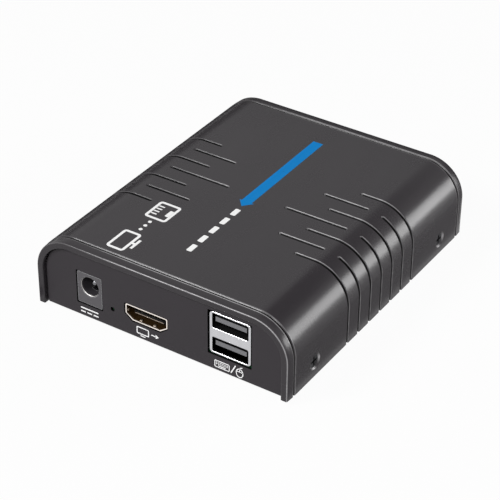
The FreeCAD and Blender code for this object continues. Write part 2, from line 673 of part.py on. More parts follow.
def make_cover():
    """Mould the cover: an arch with grooves over its sides, sloping rims and countersunk holes."""
    body = new_body("top_cover")
    section = new_sketch(body, "XZ_Plane", "cover_section")
    add_outline(section, arch_strip("0", "dim.cover_wall", COVER_BOTTOM))
    extrude("Pad", body, section, "cover_arch", "dim.body_depth", symmetric=True)

    end = value(END)
    slope = dress_edges(
        "Chamfer", body, "rim_slopes",
        lambda edge: near(abs(edge_middle(edge).y), end) and near(cover_depth(edge_middle(edge)), 0),
        Size="dim.rim_slope_length", Size2="dim.rim_slope_drop")
    slope.ChamferType = "Two distances"
    drop = value("dim.rim_slope_drop")
    dress_edges(
        "Fillet", body, "rim_edges",
        lambda edge: near(abs(edge_middle(edge).y), end) and near(cover_depth(edge_middle(edge)), drop),
        Radius="dim.rim_round")

    ribs = new_sketch(body, "XZ_Plane", "rib_section", f"{PANEL_BACK} - dim.rib_gap")
    add_outline(ribs, arch_strip("dim.cover_wall", "(dim.cover_wall + dim.rib_height)", RIB_BOTTOM))
    rib = extrude("Pad", body, ribs, "front_rib", "dim.rib_thickness", flipped=True)
    mirror(body, [rib], "XZ_Plane", "rear_rib")
    cut_grooves(body)

    holes = new_sketch(body, "YZ_Plane", "screw_holes_section")
    hole = "dim.side_screw_diameter + dim.side_hole_gap"
    for y in (f"-{SCREW_Y}", SCREW_Y):
        add_circle(holes, y, SCREW_Z, hole)
    extrude("Pocket", body, holes, "screw_holes", symmetric=True)
    side = value(SIDE)
    dress_edges(
        "Chamfer", body, "countersinks",
        lambda edge: (near(abs(edge_middle(edge).x), side) and isinstance(edge.Curve, Part.Circle)
                      and near(edge.Curve.Radius, value(hole) / 2)),
        Size=f"(dim.countersink_diameter - {hole}) / 2")
    return body


# Tray, feet and screws

SIDE_HOLE = "(dim.side_screw_diameter + 2 * dim.thread_gap)"
BOARD_HOLE = "(dim.board_screw_diameter + 2 * dim.thread_gap)"
FOLD_SIDE = f"({TRAY_SIDE} - dim.panel_relief)"
SLOT_SIDE = f"({TRAY_SIDE} - dim.corner_relief)"


def add_video_outline(sketch, inset):
    """Draw the video port's outline, moved in by an inset: flat top, sloping lower corners."""
    top = f"{VIDEO_BOTTOM} + dim.video_height - {inset}"
    half_top = f"(dim.video_width / 2 - {inset})"
    half_bottom = f"(dim.video_bottom_width / 2 - {inset} / 2)"
    add_outline(sketch, (
        (f"dim.video_x - {half_bottom}", f"{VIDEO_BOTTOM} + {inset}"),
        (f"dim.video_x + {half_bottom}", f"{VIDEO_BOTTOM} + {inset}"),
        (f"dim.video_x + {half_top}", f"{VIDEO_BOTTOM} + dim.video_shoulder + {inset} / 4"),
        (f"dim.video_x + {half_top}", top, f"dim.video_corner - {inset} / 2"),
        (f"dim.video_x - {half_top}", top, f"dim.video_corner - {inset} / 2"),
        (f"dim.video_x - {half_top}", f"{VIDEO_BOTTOM} + dim.video_shoulder + {inset} / 4"),
    ))


def add_around(sketch, x, width, bottom, height, margin, rounding=None):
    """Draw a rectangle a margin larger than something width by height that stands on bottom."""
    add_rectangle(
        sketch, f"{x} - {width} / 2 - {margin}", f"{x} + {width} / 2 + {margin}",
        f"{bottom} - {margin}", f"{bottom} + {height} + {margin}", rounding)


def panel_sketch(body, name, offset):
    """Draw an end panel: rounded under the cover, notched where it folds out of the tray's floor."""
    sketch = new_sketch(body, "XZ_Plane", name, offset)
    top = f"{COVER_TOP} - dim.cover_wall - dim.fit_gap"
    rounding = "dim.corner_radius - dim.cover_wall - dim.fit_gap"
    notch = "dim.foot_height + dim.corner_relief"
    add_outline(sketch, (
        (f"-{FOLD_SIDE}", "dim.foot_height"),
        (FOLD_SIDE, "dim.foot_height"),
        (FOLD_SIDE, notch),
        (TRAY_SIDE, notch),
        (TRAY_SIDE, top, rounding),
        (f"-{TRAY_SIDE}", top, rounding),
        (f"-{TRAY_SIDE}", notch),
        (f"-{FOLD_SIDE}", notch),
    ))
    return sketch


def fold_edges(body):
    """Round the outside and inside of the four folds along the tray's floor."""
    face = value(PANEL_FACE)
    back = value(PANEL_BACK)
    side = value(TRAY_SIDE)
    inner_side = side - value("dim.sheet_thickness")

    def along_fold(edge, y, x, z):
        middle = edge_middle(edge)
        long_enough = edge.Length > value("dim.corner_relief")
        on_line = near(abs(middle.y), y) or near(abs(middle.x), x)
        return long_enough and on_line and near(middle.z, z)

    low = value("dim.foot_height")
    floor = value(TRAY_FLOOR)
    dress_edges("Fillet", body, "outer_folds", lambda edge: along_fold(edge, face, side, low),
                Radius="dim.bend_radius + dim.sheet_thickness")
    dress_edges("Fillet", body, "inner_folds", lambda edge: along_fold(edge, back, inner_side, floor),
                Radius="dim.bend_radius")

    def round_panel(edge):
        middle = edge_middle(edge)
        return near(abs(middle.y), face) and middle.z > low + value("dim.corner_relief + dim.panel_relief")

    dress_edges("Fillet", body, "panel_edges", round_panel, Radius="dim.panel_round")


def make_tray():
    """Fold the tray: floor, two end panels with their cut-outs, two side flanges with collars."""
    body = new_body("base_tray")
    floor = new_sketch(body, "XY_Plane", "floor_outline", "dim.foot_height")
    slot_end = f"({FLANGE_END} + dim.corner_relief)"
    right_rear = (
        (TRAY_SIDE, FLANGE_END), (SLOT_SIDE, FLANGE_END), (SLOT_SIDE, slot_end),
        (FOLD_SIDE, slot_end), (FOLD_SIDE, PANEL_FACE),
    )
    corners = list(right_rear)
    corners += [(f"-{x}", y) for x, y in reversed(right_rear)]
    corners += [(f"-{x}", f"-{y}") for x, y in right_rear]
    corners += [(x, f"-{y}") for x, y in reversed(right_rear)]
    add_outline(floor, corners)
    extrude("Pad", body, floor, "floor", "dim.sheet_thickness")
    for name, offset, flipped in (("front", PANEL_FACE, True), ("rear", f"-{PANEL_FACE}", False)):
        outline = panel_sketch(body, f"{name}_panel_outline", offset)
        extrude("Pad", body, outline, f"{name}_panel", "dim.sheet_thickness", flipped=flipped)
    flanges = new_sketch(body, "XZ_Plane", "flange_section")
    flange_top = "dim.foot_height + dim.flange_height"
    add_rectangle(flanges, f"{TRAY_SIDE} - dim.sheet_thickness", TRAY_SIDE, "dim.foot_height", flange_top)
    flange = extrude("Pad", body, flanges, "right_flange", f"2 * {FLANGE_END}", symmetric=True)
    mirror(body, [flange], "YZ_Plane", "left_flange")
    fold_edges(body)

    collars = new_sketch(body, "YZ_Plane", "collar_section", f"{TRAY_SIDE} - dim.sheet_thickness")
    holes = new_sketch(body, "YZ_Plane", "flange_hole_section")
    for y in (f"-{SCREW_Y}", SCREW_Y):
        add_circle(collars, y, SCREW_Z, "dim.collar_diameter")
        add_circle(holes, y, SCREW_Z, SIDE_HOLE)
    collar = extrude("Pad", body, collars, "right_collars", "dim.collar_length", flipped=True)
    mirror(body, [collar], "YZ_Plane", "left_collars")
    extrude("Pocket", body, holes, "flange_holes", symmetric=True)

    front = new_sketch(body, "XZ_Plane", "front_cutouts_outline", PANEL_FACE)
    add_around(front, "dim.jack_x", "dim.jack_width", BOARD_TOP, "dim.jack_height",
               "dim.port_gap", "dim.cutout_corner")
    add_circle(front, "dim.reset_x", RESET_Z, "dim.pinhole_diameter")
    add_video_outline(front, "(-dim.port_gap)")
    add_around(front, "dim.twin_x", "dim.twin_width", TWIN_BOTTOM, "dim.twin_height",
               "dim.twin_gap", "dim.cutout_corner")
    extrude("Pocket", body, front, "front_cutouts", "dim.sheet_thickness")
    rear = new_sketch(body, "XZ_Plane", "rear_cutouts_outline", f"-{PANEL_FACE}")
    add_around(rear, "dim.net_x", "dim.net_width", BOARD_TOP, "dim.net_height",
               "dim.port_gap", "dim.net_corner")
    for step in range(2):
        add_circle(rear, f"dim.status_x + {step} * dim.status_pitch", STATUS_Z,
                   "dim.status_diameter + 2 * dim.port_gap")
    extrude("Pocket", body, rear, "rear_cutouts", "dim.sheet_thickness", flipped=True)
    return body


def make_foot(name, x, y):
    """Turn one rubber foot with a bevelled lower edge."""
    body = new_body(name)
    section = new_sketch(body, "XZ_Plane", f"{name}_section")
    add_outline(section, (
        ("0", "0"),
        ("dim.foot_diameter / 2 - dim.foot_bevel", "0"),
        ("dim.foot_diameter / 2", "dim.foot_bevel"),
        ("dim.foot_diameter / 2", "dim.foot_height"),
        ("0", "dim.foot_height"),
    ))
    revolve(body, section, f"{name}_turned", "V_Axis")
    return place(body, x, y, "0")


def make_side_screws():
    """Make the four countersunk screws that hold the cover to the tray's side flanges."""
    body = new_body("side_screw")
    section = new_sketch(body, "XY_Plane", "side_screw_section", SCREW_Z, lift=SCREW_Y)
    head = "(dim.countersink_diameter / 2 - dim.head_sink - dim.thread_gap)"
    shank = "dim.side_screw_diameter / 2"
    add_outline(section, (
        (SCREW_TIP, "0"),
        (SCREW_FACE, "0"),
        (SCREW_FACE, head),
        (f"{SCREW_FACE} - {head} + {shank}", shank),
        (SCREW_TIP, shank),
    ))
    revolve(body, section, "side_screw_turned", "H_Axis")
    cross = new_sketch(body, "YZ_Plane", "cross_recess_outline", SCREW_FACE)
    long_half = "dim.cross_length / 2"
    short_half = "dim.cross_width / 2"
    outline = ((1, 0), (0, 0), (0, 1))
    corners = []
    for turn_y, turn_z in ((1, 1), (-1, 1), (-1, -1), (1, -1)):
        quarter = outline if turn_y == turn_z else outline[::-1]
        for far_y, far_z in quarter:
            y = long_half if far_y else short_half
            z = long_half if far_z else short_half
            corners.append((f"{SCREW_Y} + {turn_y} * {y}", f"{SCREW_Z} + {turn_z} * {z}"))
    add_outline(cross, corners)
    extrude("Pocket", body, cross, "cross_recess", "dim.cross_depth")
    left = mirrored_copy("left_rear_screw", body, FreeCAD.Vector(1, 0, 0))
    front = mirrored_copy("right_front_screw", body, FreeCAD.Vector(0, 1, 0))
    left_front = mirrored_copy("left_front_screw", left, FreeCAD.Vector(0, 1, 0))
    return group("side_screws", [body, left, front, left_front])


def board_hole_places():
    """Return where the board is screwed down."""
    x = f"({BOARD_SIDE} - dim.board_hole_inset)"
    rows = (f"(dim.front_hole_inset - {BOARD_END})", f"({BOARD_END} - dim.rear_hole_inset)")
    return [(side, y) for y in rows for side in (f"-{x}", x)]


def make_board():
    """Cut the circuit board with its four mounting holes."""
    body = new_body("main_board")
    outline = new_sketch(body, "XY_Plane", "board_outline", f"{BOARD_TOP} - dim.board_thickness")
    add_rectangle(outline, f"-{BOARD_SIDE}", BOARD_SIDE, f"-{BOARD_END}", BOARD_END)
    for x, y in board_hole_places():
        add_circle(outline, x, y, "dim.board_screw_diameter + dim.board_hole_gap")
    extrude("Pad", body, outline, "board", "dim.board_thickness")
    return body


def make_standoffs():
    """Make the four hollow standoffs that carry the board."""
    posts = []
    for i, (x, y) in enumerate(board_hole_places(), start=1):
        post = rod(f"post_{i}", x, y, TRAY_FLOOR, "dim.standoff_diameter", "dim.standoff_height")
        bore = rod(f"post_bore_{i}", x, y, TRAY_FLOOR, BOARD_HOLE, "dim.standoff_height")
        posts.append(carve(f"standoff_{i}", post, [bore]))
    return group("standoffs", posts)


def make_board_screws():
    """Make the four slotted screws that hold the board on its standoffs."""
    screws = []
    for i, (x, y) in enumerate(board_hole_places(), start=1):
        head = rod(f"board_screw_head_{i}", x, y, BOARD_TOP,
                   "dim.board_screw_head", "dim.board_screw_head_height")
        shank = rod(f"board_screw_shank_{i}", x, y, f"{BOARD_TOP} - dim.board_screw_length",
                    "dim.board_screw_diameter", "dim.board_screw_length")
        slot_bottom = f"{BOARD_TOP} + dim.board_screw_head_height / 2"
        slot = block(f"board_screw_slot_{i}", x, y, slot_bottom,
                     "dim.board_screw_head", "dim.cross_width", "dim.board_screw_head_height")
        screws.append(carve(f"board_screw_{i}", join(f"board_screw_blank_{i}", [head, shank]), [slot]))
    return group("board_screws", screws)


# Power jack

JACK_AXIS = f"({BOARD_TOP} + dim.jack_axis_rise)"
JACK_SLOT_FLOOR = f"({JACK_AXIS} - dim.jack_bore / 2 - dim.jack_slot_depth)"


def make_jack_body():
    """Mould the power jack: square front, rounded rear, bore with a bevelled mouth."""
    body = new_body("power_jack_body")
    flange = new_sketch(body, "XZ_Plane", "jack_flange_outline", PORT_FACE)
    add_around(flange, "dim.jack_x", "dim.jack_width", BOARD_TOP, "dim.jack_height", "0", "dim.jack_corner")
    extrude("Pad", body, flange, "jack_flange", "dim.jack_flange", flipped=True)
    barrel = new_sketch(body, "XZ_Plane", "jack_barrel_outline", f"{PORT_FACE} - dim.jack_flange")
    half = "(dim.jack_barrel_width / 2)"
    crown = f"({half} * dim.round_share)"
    add_outline(barrel, (
        (f"dim.jack_x - {half}", BOARD_TOP),
        (f"dim.jack_x + {half}", BOARD_TOP),
        (f"dim.jack_x + {half}", f"{JACK_AXIS} + {half}", crown),
        (f"dim.jack_x - {half}", f"{JACK_AXIS} + {half}", crown),
    ))
    extrude("Pad", body, barrel, "jack_barrel", "dim.jack_length - dim.jack_flange", flipped=True)
    bore = new_sketch(body, "XZ_Plane", "jack_bore_outline", PORT_FACE)
    add_circle(bore, "dim.jack_x", JACK_AXIS, "dim.jack_bore")
    extrude("Pocket", body, bore, "jack_bore", "dim.jack_bore_depth")
    slot = new_sketch(body, "XZ_Plane", "jack_slot_outline", f"{PORT_FACE} - dim.jack_flange")
    add_rectangle(slot, "dim.jack_x - dim.jack_slot_width / 2", "dim.jack_x + dim.jack_slot_width / 2",
                  JACK_SLOT_FLOOR, JACK_AXIS)
    extrude("Pocket", body, slot, "jack_slot", "dim.jack_bore_depth - dim.jack_flange")
    hole = new_sketch(body, "XZ_Plane", "jack_pin_hole_outline", PORT_FACE)
    add_circle(hole, "dim.jack_x", JACK_AXIS, "dim.jack_pin_shank + 2 * dim.press_gap")
    extrude("Pocket", body, hole, "jack_pin_hole")
    face = -value(PORT_FACE)
    dress_edges(
        "Chamfer", body, "jack_mouth",
        lambda edge: near(edge_middle(edge).y, face) and isinstance(edge.Curve, Part.Circle)
        and near(edge.Curve.Radius, value("dim.jack_bore / 2")),
        Size="dim.jack_lip")
    return body


def make_jack_pin():
    """Turn the jack's centre pin, shouldered on the bore's floor, and add the terminal behind it."""
    body = new_body("power_jack_pin")
    section = new_sketch(body, "YZ_Plane", "jack_pin_section", "dim.jack_x", lift=JACK_AXIS)
    radius = "(dim.jack_pin_diameter / 2)"
    shank = "(dim.jack_pin_shank / 2)"
    tip = f"-{PORT_FACE} + dim.jack_pin_recess"
    shoulder = f"-{PORT_FACE} + dim.jack_bore_depth"
    rear = f"-{PORT_FACE} + dim.jack_length"
    add_outline(section, (
        (tip, "0"), (rear, "0"), (rear, shank), (shoulder, shank), (shoulder, radius),
        (tip, radius, f"{radius} * dim.round_share"),
    ))
    revolve(body, section, "jack_pin_turned", "H_Axis")
    terminal = new_sketch(body, "XZ_Plane", "jack_terminal_outline", f"{PORT_FACE} - dim.jack_length")
    add_rectangle(terminal, "dim.jack_x - dim.jack_tab_width / 2", "dim.jack_x + dim.jack_tab_width / 2",
                  BOARD_TOP, f"{JACK_AXIS} + dim.jack_tab_width / 2")
    extrude("Pad", body, terminal, "jack_terminal", "dim.jack_tab_thickness", flipped=True)
    return body


def make_jack_spring():
    """Bend the leaf spring that presses on the plug's sleeve."""
    body = new_body("power_jack_spring")
    section = new_sketch(body, "YZ_Plane", "jack_spring_section", "dim.jack_x")
    front = f"-{PORT_FACE} + dim.jack_flange + dim.plunger_gap"
    rear = f"-{PORT_FACE} + dim.jack_bore_depth - dim.plunger_gap"
    middle = f"-{PORT_FACE} + (dim.jack_flange + dim.jack_bore_depth) / 2"
    thick = "dim.jack_spring_thickness"
    crest = f"({JACK_SLOT_FLOOR} + dim.jack_slot_depth + dim.jack_spring_reach)"
    add_outline(section, (
        (front, JACK_SLOT_FLOOR), (middle, f"{crest} - {thick}"), (rear, JACK_SLOT_FLOOR),
        (rear, f"{JACK_SLOT_FLOOR} + {thick}"), (middle, crest), (front, f"{JACK_SLOT_FLOOR} + {thick}"),
    ))
    extrude("Pad", body, section, "jack_spring_leaf", "dim.jack_spring_width", symmetric=True)
    return body


# Reset switch

RESET_FRONT = f"({PANEL_BACK} - dim.reset_setback)"
RESET_HOUSING = f"({RESET_FRONT} - dim.reset_plate)"


def make_reset_housing():
    """Mould the switch housing with the round chamber its plunger works in."""
    body = new_body("reset_switch_housing")
    outline = new_sketch(body, "XZ_Plane", "reset_housing_outline", RESET_HOUSING)
    add_around(outline, "dim.reset_x", "dim.reset_width", BOARD_TOP, "dim.reset_height", "0")
    extrude("Pad", body, outline, "reset_housing", "dim.reset_depth", flipped=True)
    chamber = new_sketch(body, "XZ_Plane", "reset_chamber_outline", RESET_HOUSING)
    add_circle(chamber, "dim.reset_x", RESET_Z, "dim.reset_chamber")
    extrude("Pocket", body, chamber, "reset_chamber", "dim.reset_chamber_depth")
    return body


def make_reset_frame():
    """Stamp the metal frame that keeps the plunger in the housing."""
    body = new_body("reset_switch_frame")
    outline = new_sketch(body, "XZ_Plane", "reset_frame_outline", RESET_FRONT)
    add_around(outline, "dim.reset_x", "dim.reset_width", BOARD_TOP, "dim.reset_height", "0")
    add_circle(outline, "dim.reset_x", RESET_Z, "dim.plunger_diameter + 2 * dim.plunger_gap")
    extrude("Pad", body, outline, "reset_frame", "dim.reset_plate", flipped=True)
    return body


def make_reset_plunger():
    """Turn the plunger: a stem that shows behind the pinhole and a collar inside the chamber."""
    body = new_body("reset_plunger")
    section = new_sketch(body, "YZ_Plane", "plunger_section", "dim.reset_x", lift=RESET_Z)
    tip = f"-{PANEL_BACK} + dim.plunger_tip_gap"
    collar = f"-{RESET_HOUSING} + dim.plunger_gap"
    stem_radius = "dim.plunger_diameter / 2"
    collar_radius = "dim.plunger_collar / 2"
    add_outline(section, (
        (tip, "0"),
        (f"{collar} + dim.plunger_collar_length", "0"),
        (f"{collar} + dim.plunger_collar_length", collar_radius),
        (collar, collar_radius),
        (collar, stem_radius),
        (tip, stem_radius, f"{stem_radius} / 2"),
    ))
    revolve(body, section, "plunger_turned", "H_Axis")
    return body


# Video port

VIDEO_REAR = f"({PORT_FACE} - dim.video_length)"
VIDEO_TONGUE_Z = f"({VIDEO_BOTTOM} + dim.video_tongue_rise)"


def make_video_shell():
    """Stamp the video port's shell: a tube of its outline, on four feet."""
    body = new_body("video_port_shell")
    outline = new_sketch(body, "XZ_Plane", "video_shell_outline", PORT_FACE)
    add_video_outline(outline, "0")
    add_video_outline(outline, "dim.video_wall")
    extrude("Pad", body, outline, "video_tube", "dim.video_length", flipped=True)
    feet = new_sketch(body, "XY_Plane", "video_feet_outline", BOARD_TOP)
    outer = "(dim.video_width / 2)"
    inner = f"({outer} - dim.video_wall)"
    for y in (f"-{PANEL_BACK} + dim.board_gap", f"-{VIDEO_REAR} - dim.video_foot_length"):
        for low, high in ((f"-{outer}", f"-{inner}"), (inner, outer)):
            add_rectangle(feet, f"dim.video_x + {low}", f"dim.video_x + {high}",
                          y, f"{y} + dim.video_foot_length")
    extrude("Pad", body, feet, "video_feet", "dim.video_rise + dim.video_shoulder + dim.video_wall")
    return body


def make_video_insulator():
    """Mould the video port's insulator: a plug for the shell's rear end, and the tongue."""
    body = new_body("video_port_insulator")
    plug = new_sketch(body, "XZ_Plane", "video_plug_outline", VIDEO_REAR)
    add_video_outline(plug, "(dim.video_wall + dim.press_gap)")
    extrude("Pad", body, plug, "video_plug", "dim.video_block")
    tongue = new_sketch(body, "XZ_Plane", "video_tongue_outline", f"{VIDEO_REAR} + dim.video_block")
    add_around(tongue, "dim.video_x", "dim.video_tongue_width", VIDEO_TONGUE_Z,
               "dim.video_tongue_thickness", "0")
    length = "dim.video_length - dim.video_block - dim.video_tongue_recess"
    extrude("Pad", body, tongue, "video_tongue", length)
    return body


def make_video_contacts():
    """Lay a row of contacts on top of the video tongue and another under it."""
    start = f"(-{PORT_FACE} + dim.video_tongue_recess + dim.contact_setback)"
    stop = f"(-{VIDEO_REAR} - dim.video_block)"
    rows = (
        ("upper", f"{VIDEO_TONGUE_Z} + dim.video_tongue_thickness"),
        ("lower", f"{VIDEO_TONGUE_Z} - dim.contact_thickness"),
    )
    strips = []
    for row_name, z in rows:
        count = int(value(f"dim.video_{row_name}_contacts"))
        for i in range(count):
            x = f"dim.video_x + dim.video_contact_pitch * {i - (count - 1) / 2}"
            strips.append(block(f"video_{row_name}_contact_{i + 1}", x, f"({start} + {stop}) / 2", z,
                                "dim.video_contact_width", f"{stop} - {start}", "dim.contact_thickness"))
    return group("video_contacts", strips)


# Stacked peripheral ports

TWIN_REAR = f"({PORT_FACE} - dim.twin_length)"
LOWER_OPENING = f"({TWIN_BOTTOM} + dim.twin_edge)"
UPPER_OPENING = f"({TWIN_BOTTOM} + dim.twin_height - dim.twin_edge - dim.twin_opening_height)"


def twin_tongue_z(opening):
    """Return the underside of the tongue in one of the stacked openings."""
    return f"({opening} + dim.twin_opening_height - dim.twin_tongue_drop - dim.twin_tongue_thickness)"


def make_twin_shell():
    """Fold the stacked ports' shell: a box with two openings in its face, on four feet."""
    body = new_body("peripheral_port_shell")
    outline = new_sketch(body, "XZ_Plane", "twin_shell_outline", PORT_FACE)
    add_around(outline, "dim.twin_x", "dim.twin_width", TWIN_BOTTOM, "dim.twin_height",
               "0", "dim.twin_corner")
    extrude("Pad", body, outline, "twin_box", "dim.twin_length", flipped=True)
    hollow = new_sketch(body, "XZ_Plane", "twin_hollow_outline", TWIN_REAR)
    add_around(hollow, "dim.twin_x", "dim.twin_width", TWIN_BOTTOM, "dim.twin_height", "(-dim.twin_wall)",
               "dim.twin_corner - dim.twin_wall")
    extrude("Pocket", body, hollow, "twin_hollow", "dim.twin_length - dim.twin_wall", flipped=True)
    openings = new_sketch(body, "XZ_Plane", "twin_openings_outline", PORT_FACE)
    for bottom in (LOWER_OPENING, UPPER_OPENING):
        add_around(openings, "dim.twin_x", "dim.twin_opening_width", bottom, "dim.twin_opening_height", "0",
                   "dim.twin_opening_corner")
    extrude("Pocket", body, openings, "twin_openings", "dim.twin_wall")
    face = -value(PORT_FACE)
    dress_edges("Fillet", body, "twin_lips", lambda edge: near(edge_middle(edge).y, face),
                Radius="dim.twin_lip")
    feet = new_sketch(body, "XY_Plane", "twin_feet_outline", BOARD_TOP)
    outer = "(dim.twin_width / 2)"
    inner = f"({outer} - dim.twin_wall)"
    for y in (f"-{PANEL_BACK} + 4 * dim.board_gap", f"-{TWIN_REAR} - dim.twin_foot_length"):
        for low, high in ((f"-{outer}", f"-{inner}"), (inner, outer)):
            add_rectangle(feet, f"dim.twin_x + {low}", f"dim.twin_x + {high}",
                          y, f"{y} + dim.twin_foot_length")
    extrude("Pad", body, feet, "twin_feet", "dim.twin_rise + dim.twin_corner")
    return body


def make_twin_insulator():
    """Mould the stacked ports' insulator: rear block with a heel on the board, divider, two tongues."""
    body = new_body("peripheral_port_insulator")
    inset = "(-dim.twin_wall - dim.press_gap)"
    rear = new_sketch(body, "XZ_Plane", "twin_block_outline", TWIN_REAR)
    add_around(rear, "dim.twin_x", "dim.twin_width", TWIN_BOTTOM, "dim.twin_height", inset,
               "dim.twin_corner - dim.twin_wall")
    extrude("Pad", body, rear, "twin_block", "dim.twin_block")
    heel = new_sketch(body, "XZ_Plane", "twin_heel_outline", TWIN_REAR)
    half = "(dim.twin_width / 2 - dim.twin_wall - dim.twin_corner)"
    add_rectangle(heel, f"dim.twin_x - {half}", f"dim.twin_x + {half}",
                  BOARD_TOP, f"{TWIN_BOTTOM} + dim.twin_height - dim.twin_corner")
    extrude("Pad", body, heel, "twin_heel", "dim.twin_heel", flipped=True)
    divider = new_sketch(body, "XZ_Plane", "twin_divider_outline", f"{TWIN_REAR} + dim.twin_block")
    inside = "(dim.twin_width / 2 - dim.twin_wall - dim.press_gap)"
    add_rectangle(divider, f"dim.twin_x - {inside}", f"dim.twin_x + {inside}",
                  f"{LOWER_OPENING} + dim.twin_opening_height", UPPER_OPENING)
    reach = "dim.twin_length - dim.twin_block - dim.twin_wall - dim.press_gap"
    extrude("Pad", body, divider, "twin_divider", reach)
    tongues = new_sketch(body, "XZ_Plane", "twin_tongues_outline", f"{TWIN_REAR} + dim.twin_block")
    for opening in (LOWER_OPENING, UPPER_OPENING):
        add_around(tongues, "dim.twin_x", "dim.twin_tongue_width", twin_tongue_z(opening),
                   "dim.twin_tongue_thickness", "0")
    extrude("Pad", body, tongues, "twin_tongues", "dim.twin_length - dim.twin_block - dim.twin_tongue_recess")
    return body


def make_twin_contacts():
    """Lay four contacts under each tongue of the stacked ports."""
    start = f"(-{PORT_FACE} + dim.twin_tongue_recess + dim.contact_setback)"
    stop = f"(-{TWIN_REAR} - dim.twin_block)"
    strips = []
    for row_name, opening in (("lower", LOWER_OPENING), ("upper", UPPER_OPENING)):
        for offset in ("-dim.twin_outer_contact", "-dim.twin_inner_contact",
                       "+dim.twin_inner_contact", "+dim.twin_outer_contact"):
            strips.append(block(
                f"twin_{row_name}_contact_{len(strips) % 4 + 1}", f"(dim.twin_x {offset})",
                f"({start} + {stop}) / 2", f"{twin_tongue_z(opening)} - dim.contact_thickness",
                "dim.twin_contact_width", f"{stop} - {start}", "dim.contact_thickness"))
    return group("twin_contacts", strips)


# Network jack

NET_FACE = f"({PANEL_FACE} + dim.net_proud)"
NET_INNER_FACE = f"({NET_FACE} - dim.net_face_recess)"
NET_TOP = f"({BOARD_TOP} + dim.net_height)"
PLUG_TOP = f"({NET_TOP} - dim.plug_top_drop)"
NET_LAMP_Z = f"({NET_TOP} - dim.net_lamp_drop - dim.net_lamp_height)"


def make_net_shield():
    """Fold the network jack's shield: a square tube on the board."""
    body = new_body("network_jack_shield")
    outline = new_sketch(body, "XZ_Plane", "net_shield_outline", f"-{NET_FACE}")
    for margin, rounding in (("0", "dim.net_corner"), ("(-dim.net_wall)", "dim.net_corner - dim.net_wall")):
        add_around(outline, "dim.net_x", "dim.net_width", BOARD_TOP, "dim.net_height", margin, rounding)
    extrude("Pad", body, outline, "net_shield", "dim.net_length")
    return body


def make_net_housing():
    """Mould the network jack's housing: plug opening with its stepped latch notch, two lamp windows."""
    body = new_body("network_jack_housing")
    outline = new_sketch(body, "XZ_Plane", "net_housing_outline", f"-{NET_INNER_FACE}")
    add_around(outline, "dim.net_x", "dim.net_width", BOARD_TOP, "dim.net_height",
               "(-dim.net_wall - dim.press_gap)", "dim.net_corner - dim.net_wall")
    extrude("Pad", body, outline, "net_housing", "dim.net_length - dim.net_face_recess")
    plug = new_sketch(body, "XZ_Plane", "plug_opening_outline", f"-{NET_INNER_FACE}")
    plug_bottom = f"({PLUG_TOP} - dim.plug_height)"
    latch_bottom = f"({plug_bottom} - dim.latch_height)"
    key_bottom = f"({latch_bottom} - dim.key_height)"
    right_half = (
        ("dim.plug_width", PLUG_TOP), ("dim.plug_width", plug_bottom),
        ("dim.latch_width", plug_bottom), ("dim.latch_width", latch_bottom),
        ("dim.key_width", latch_bottom), ("dim.key_width", key_bottom),
    )
    corners = [(f"dim.net_x + {width} / 2", z) for width, z in right_half]
    corners += [(f"dim.net_x - {width} / 2", z) for width, z in reversed(right_half)]
    add_outline(plug, corners)
    extrude("Pocket", body, plug, "plug_opening", "dim.plug_depth", flipped=True)
    windows = new_sketch(body, "XZ_Plane", "lamp_windows_outline", f"-{NET_INNER_FACE}")
    for x in ("dim.net_x - dim.net_lamp_x", "dim.net_x + dim.net_lamp_x"):
        add_around(windows, f"({x})", "dim.net_lamp_width", NET_LAMP_Z, "dim.net_lamp_height",
                   "dim.press_gap")
    extrude("Pocket", body, windows, "lamp_windows", "dim.net_lamp_depth", flipped=True)
    return body


def make_net_contacts():
    """Bend the sprung contacts that hang from the top of the plug opening."""
    body = new_body("network_jack_contacts")
    span = "((dim.net_contact_count - 1) * dim.net_contact_pitch)"
    section = new_sketch(body, "YZ_Plane", "net_contact_section", f"dim.net_x - {span} / 2")
    start = f"{NET_INNER_FACE} - dim.net_contact_start"
    bend = f"{NET_INNER_FACE} - dim.net_contact_bend"
    stop = f"{NET_INNER_FACE} - dim.net_contact_stop"
    thick = "dim.net_contact_thickness"
    add_outline(section, (
        (start, PLUG_TOP), (bend, PLUG_TOP), (stop, f"{PLUG_TOP} - dim.net_contact_drop"),
        (stop, f"{PLUG_TOP} - dim.net_contact_drop - {thick}"), (bend, f"{PLUG_TOP} - {thick}"),
        (start, f"{PLUG_TOP} - {thick}"),
    ))
    wire = extrude("Pad", body, section, "net_contact", "dim.net_contact_width", symmetric=True)
    row_of(body, wire, "net_contact_row", span, "dim.net_contact_count")
    return body


def make_net_lamp(name, side):
    """Make one of the network jack's two lamp windows."""
    y = f"{NET_INNER_FACE} - dim.net_lamp_depth / 2"
    return block(name, f"(dim.net_x {side} dim.net_lamp_x)", y, NET_LAMP_Z,
                 "dim.net_lamp_width", "dim.net_lamp_depth", "dim.net_lamp_height")


# Status lamps

HOLDER_FRONT = f"({PANEL_BACK} - dim.holder_setback)"
HOLDER_REAR = f"({HOLDER_FRONT} - dim.holder_depth)"


def make_lamp_holder(name, x):
    """Mould the block that holds a status lamp level on the board."""
    body = new_body(name)
    outline = new_sketch(body, "XZ_Plane", f"{name}_outline", f"-{HOLDER_FRONT}")
    add_around(outline, x, "dim.holder_width", BOARD_TOP, "dim.status_rise + dim.holder_cap", "0")
    add_circle(outline, x, STATUS_Z, "dim.status_diameter + dim.lamp_gap")
    extrude("Pad", body, outline, f"{name}_block", "dim.holder_depth")
    return body


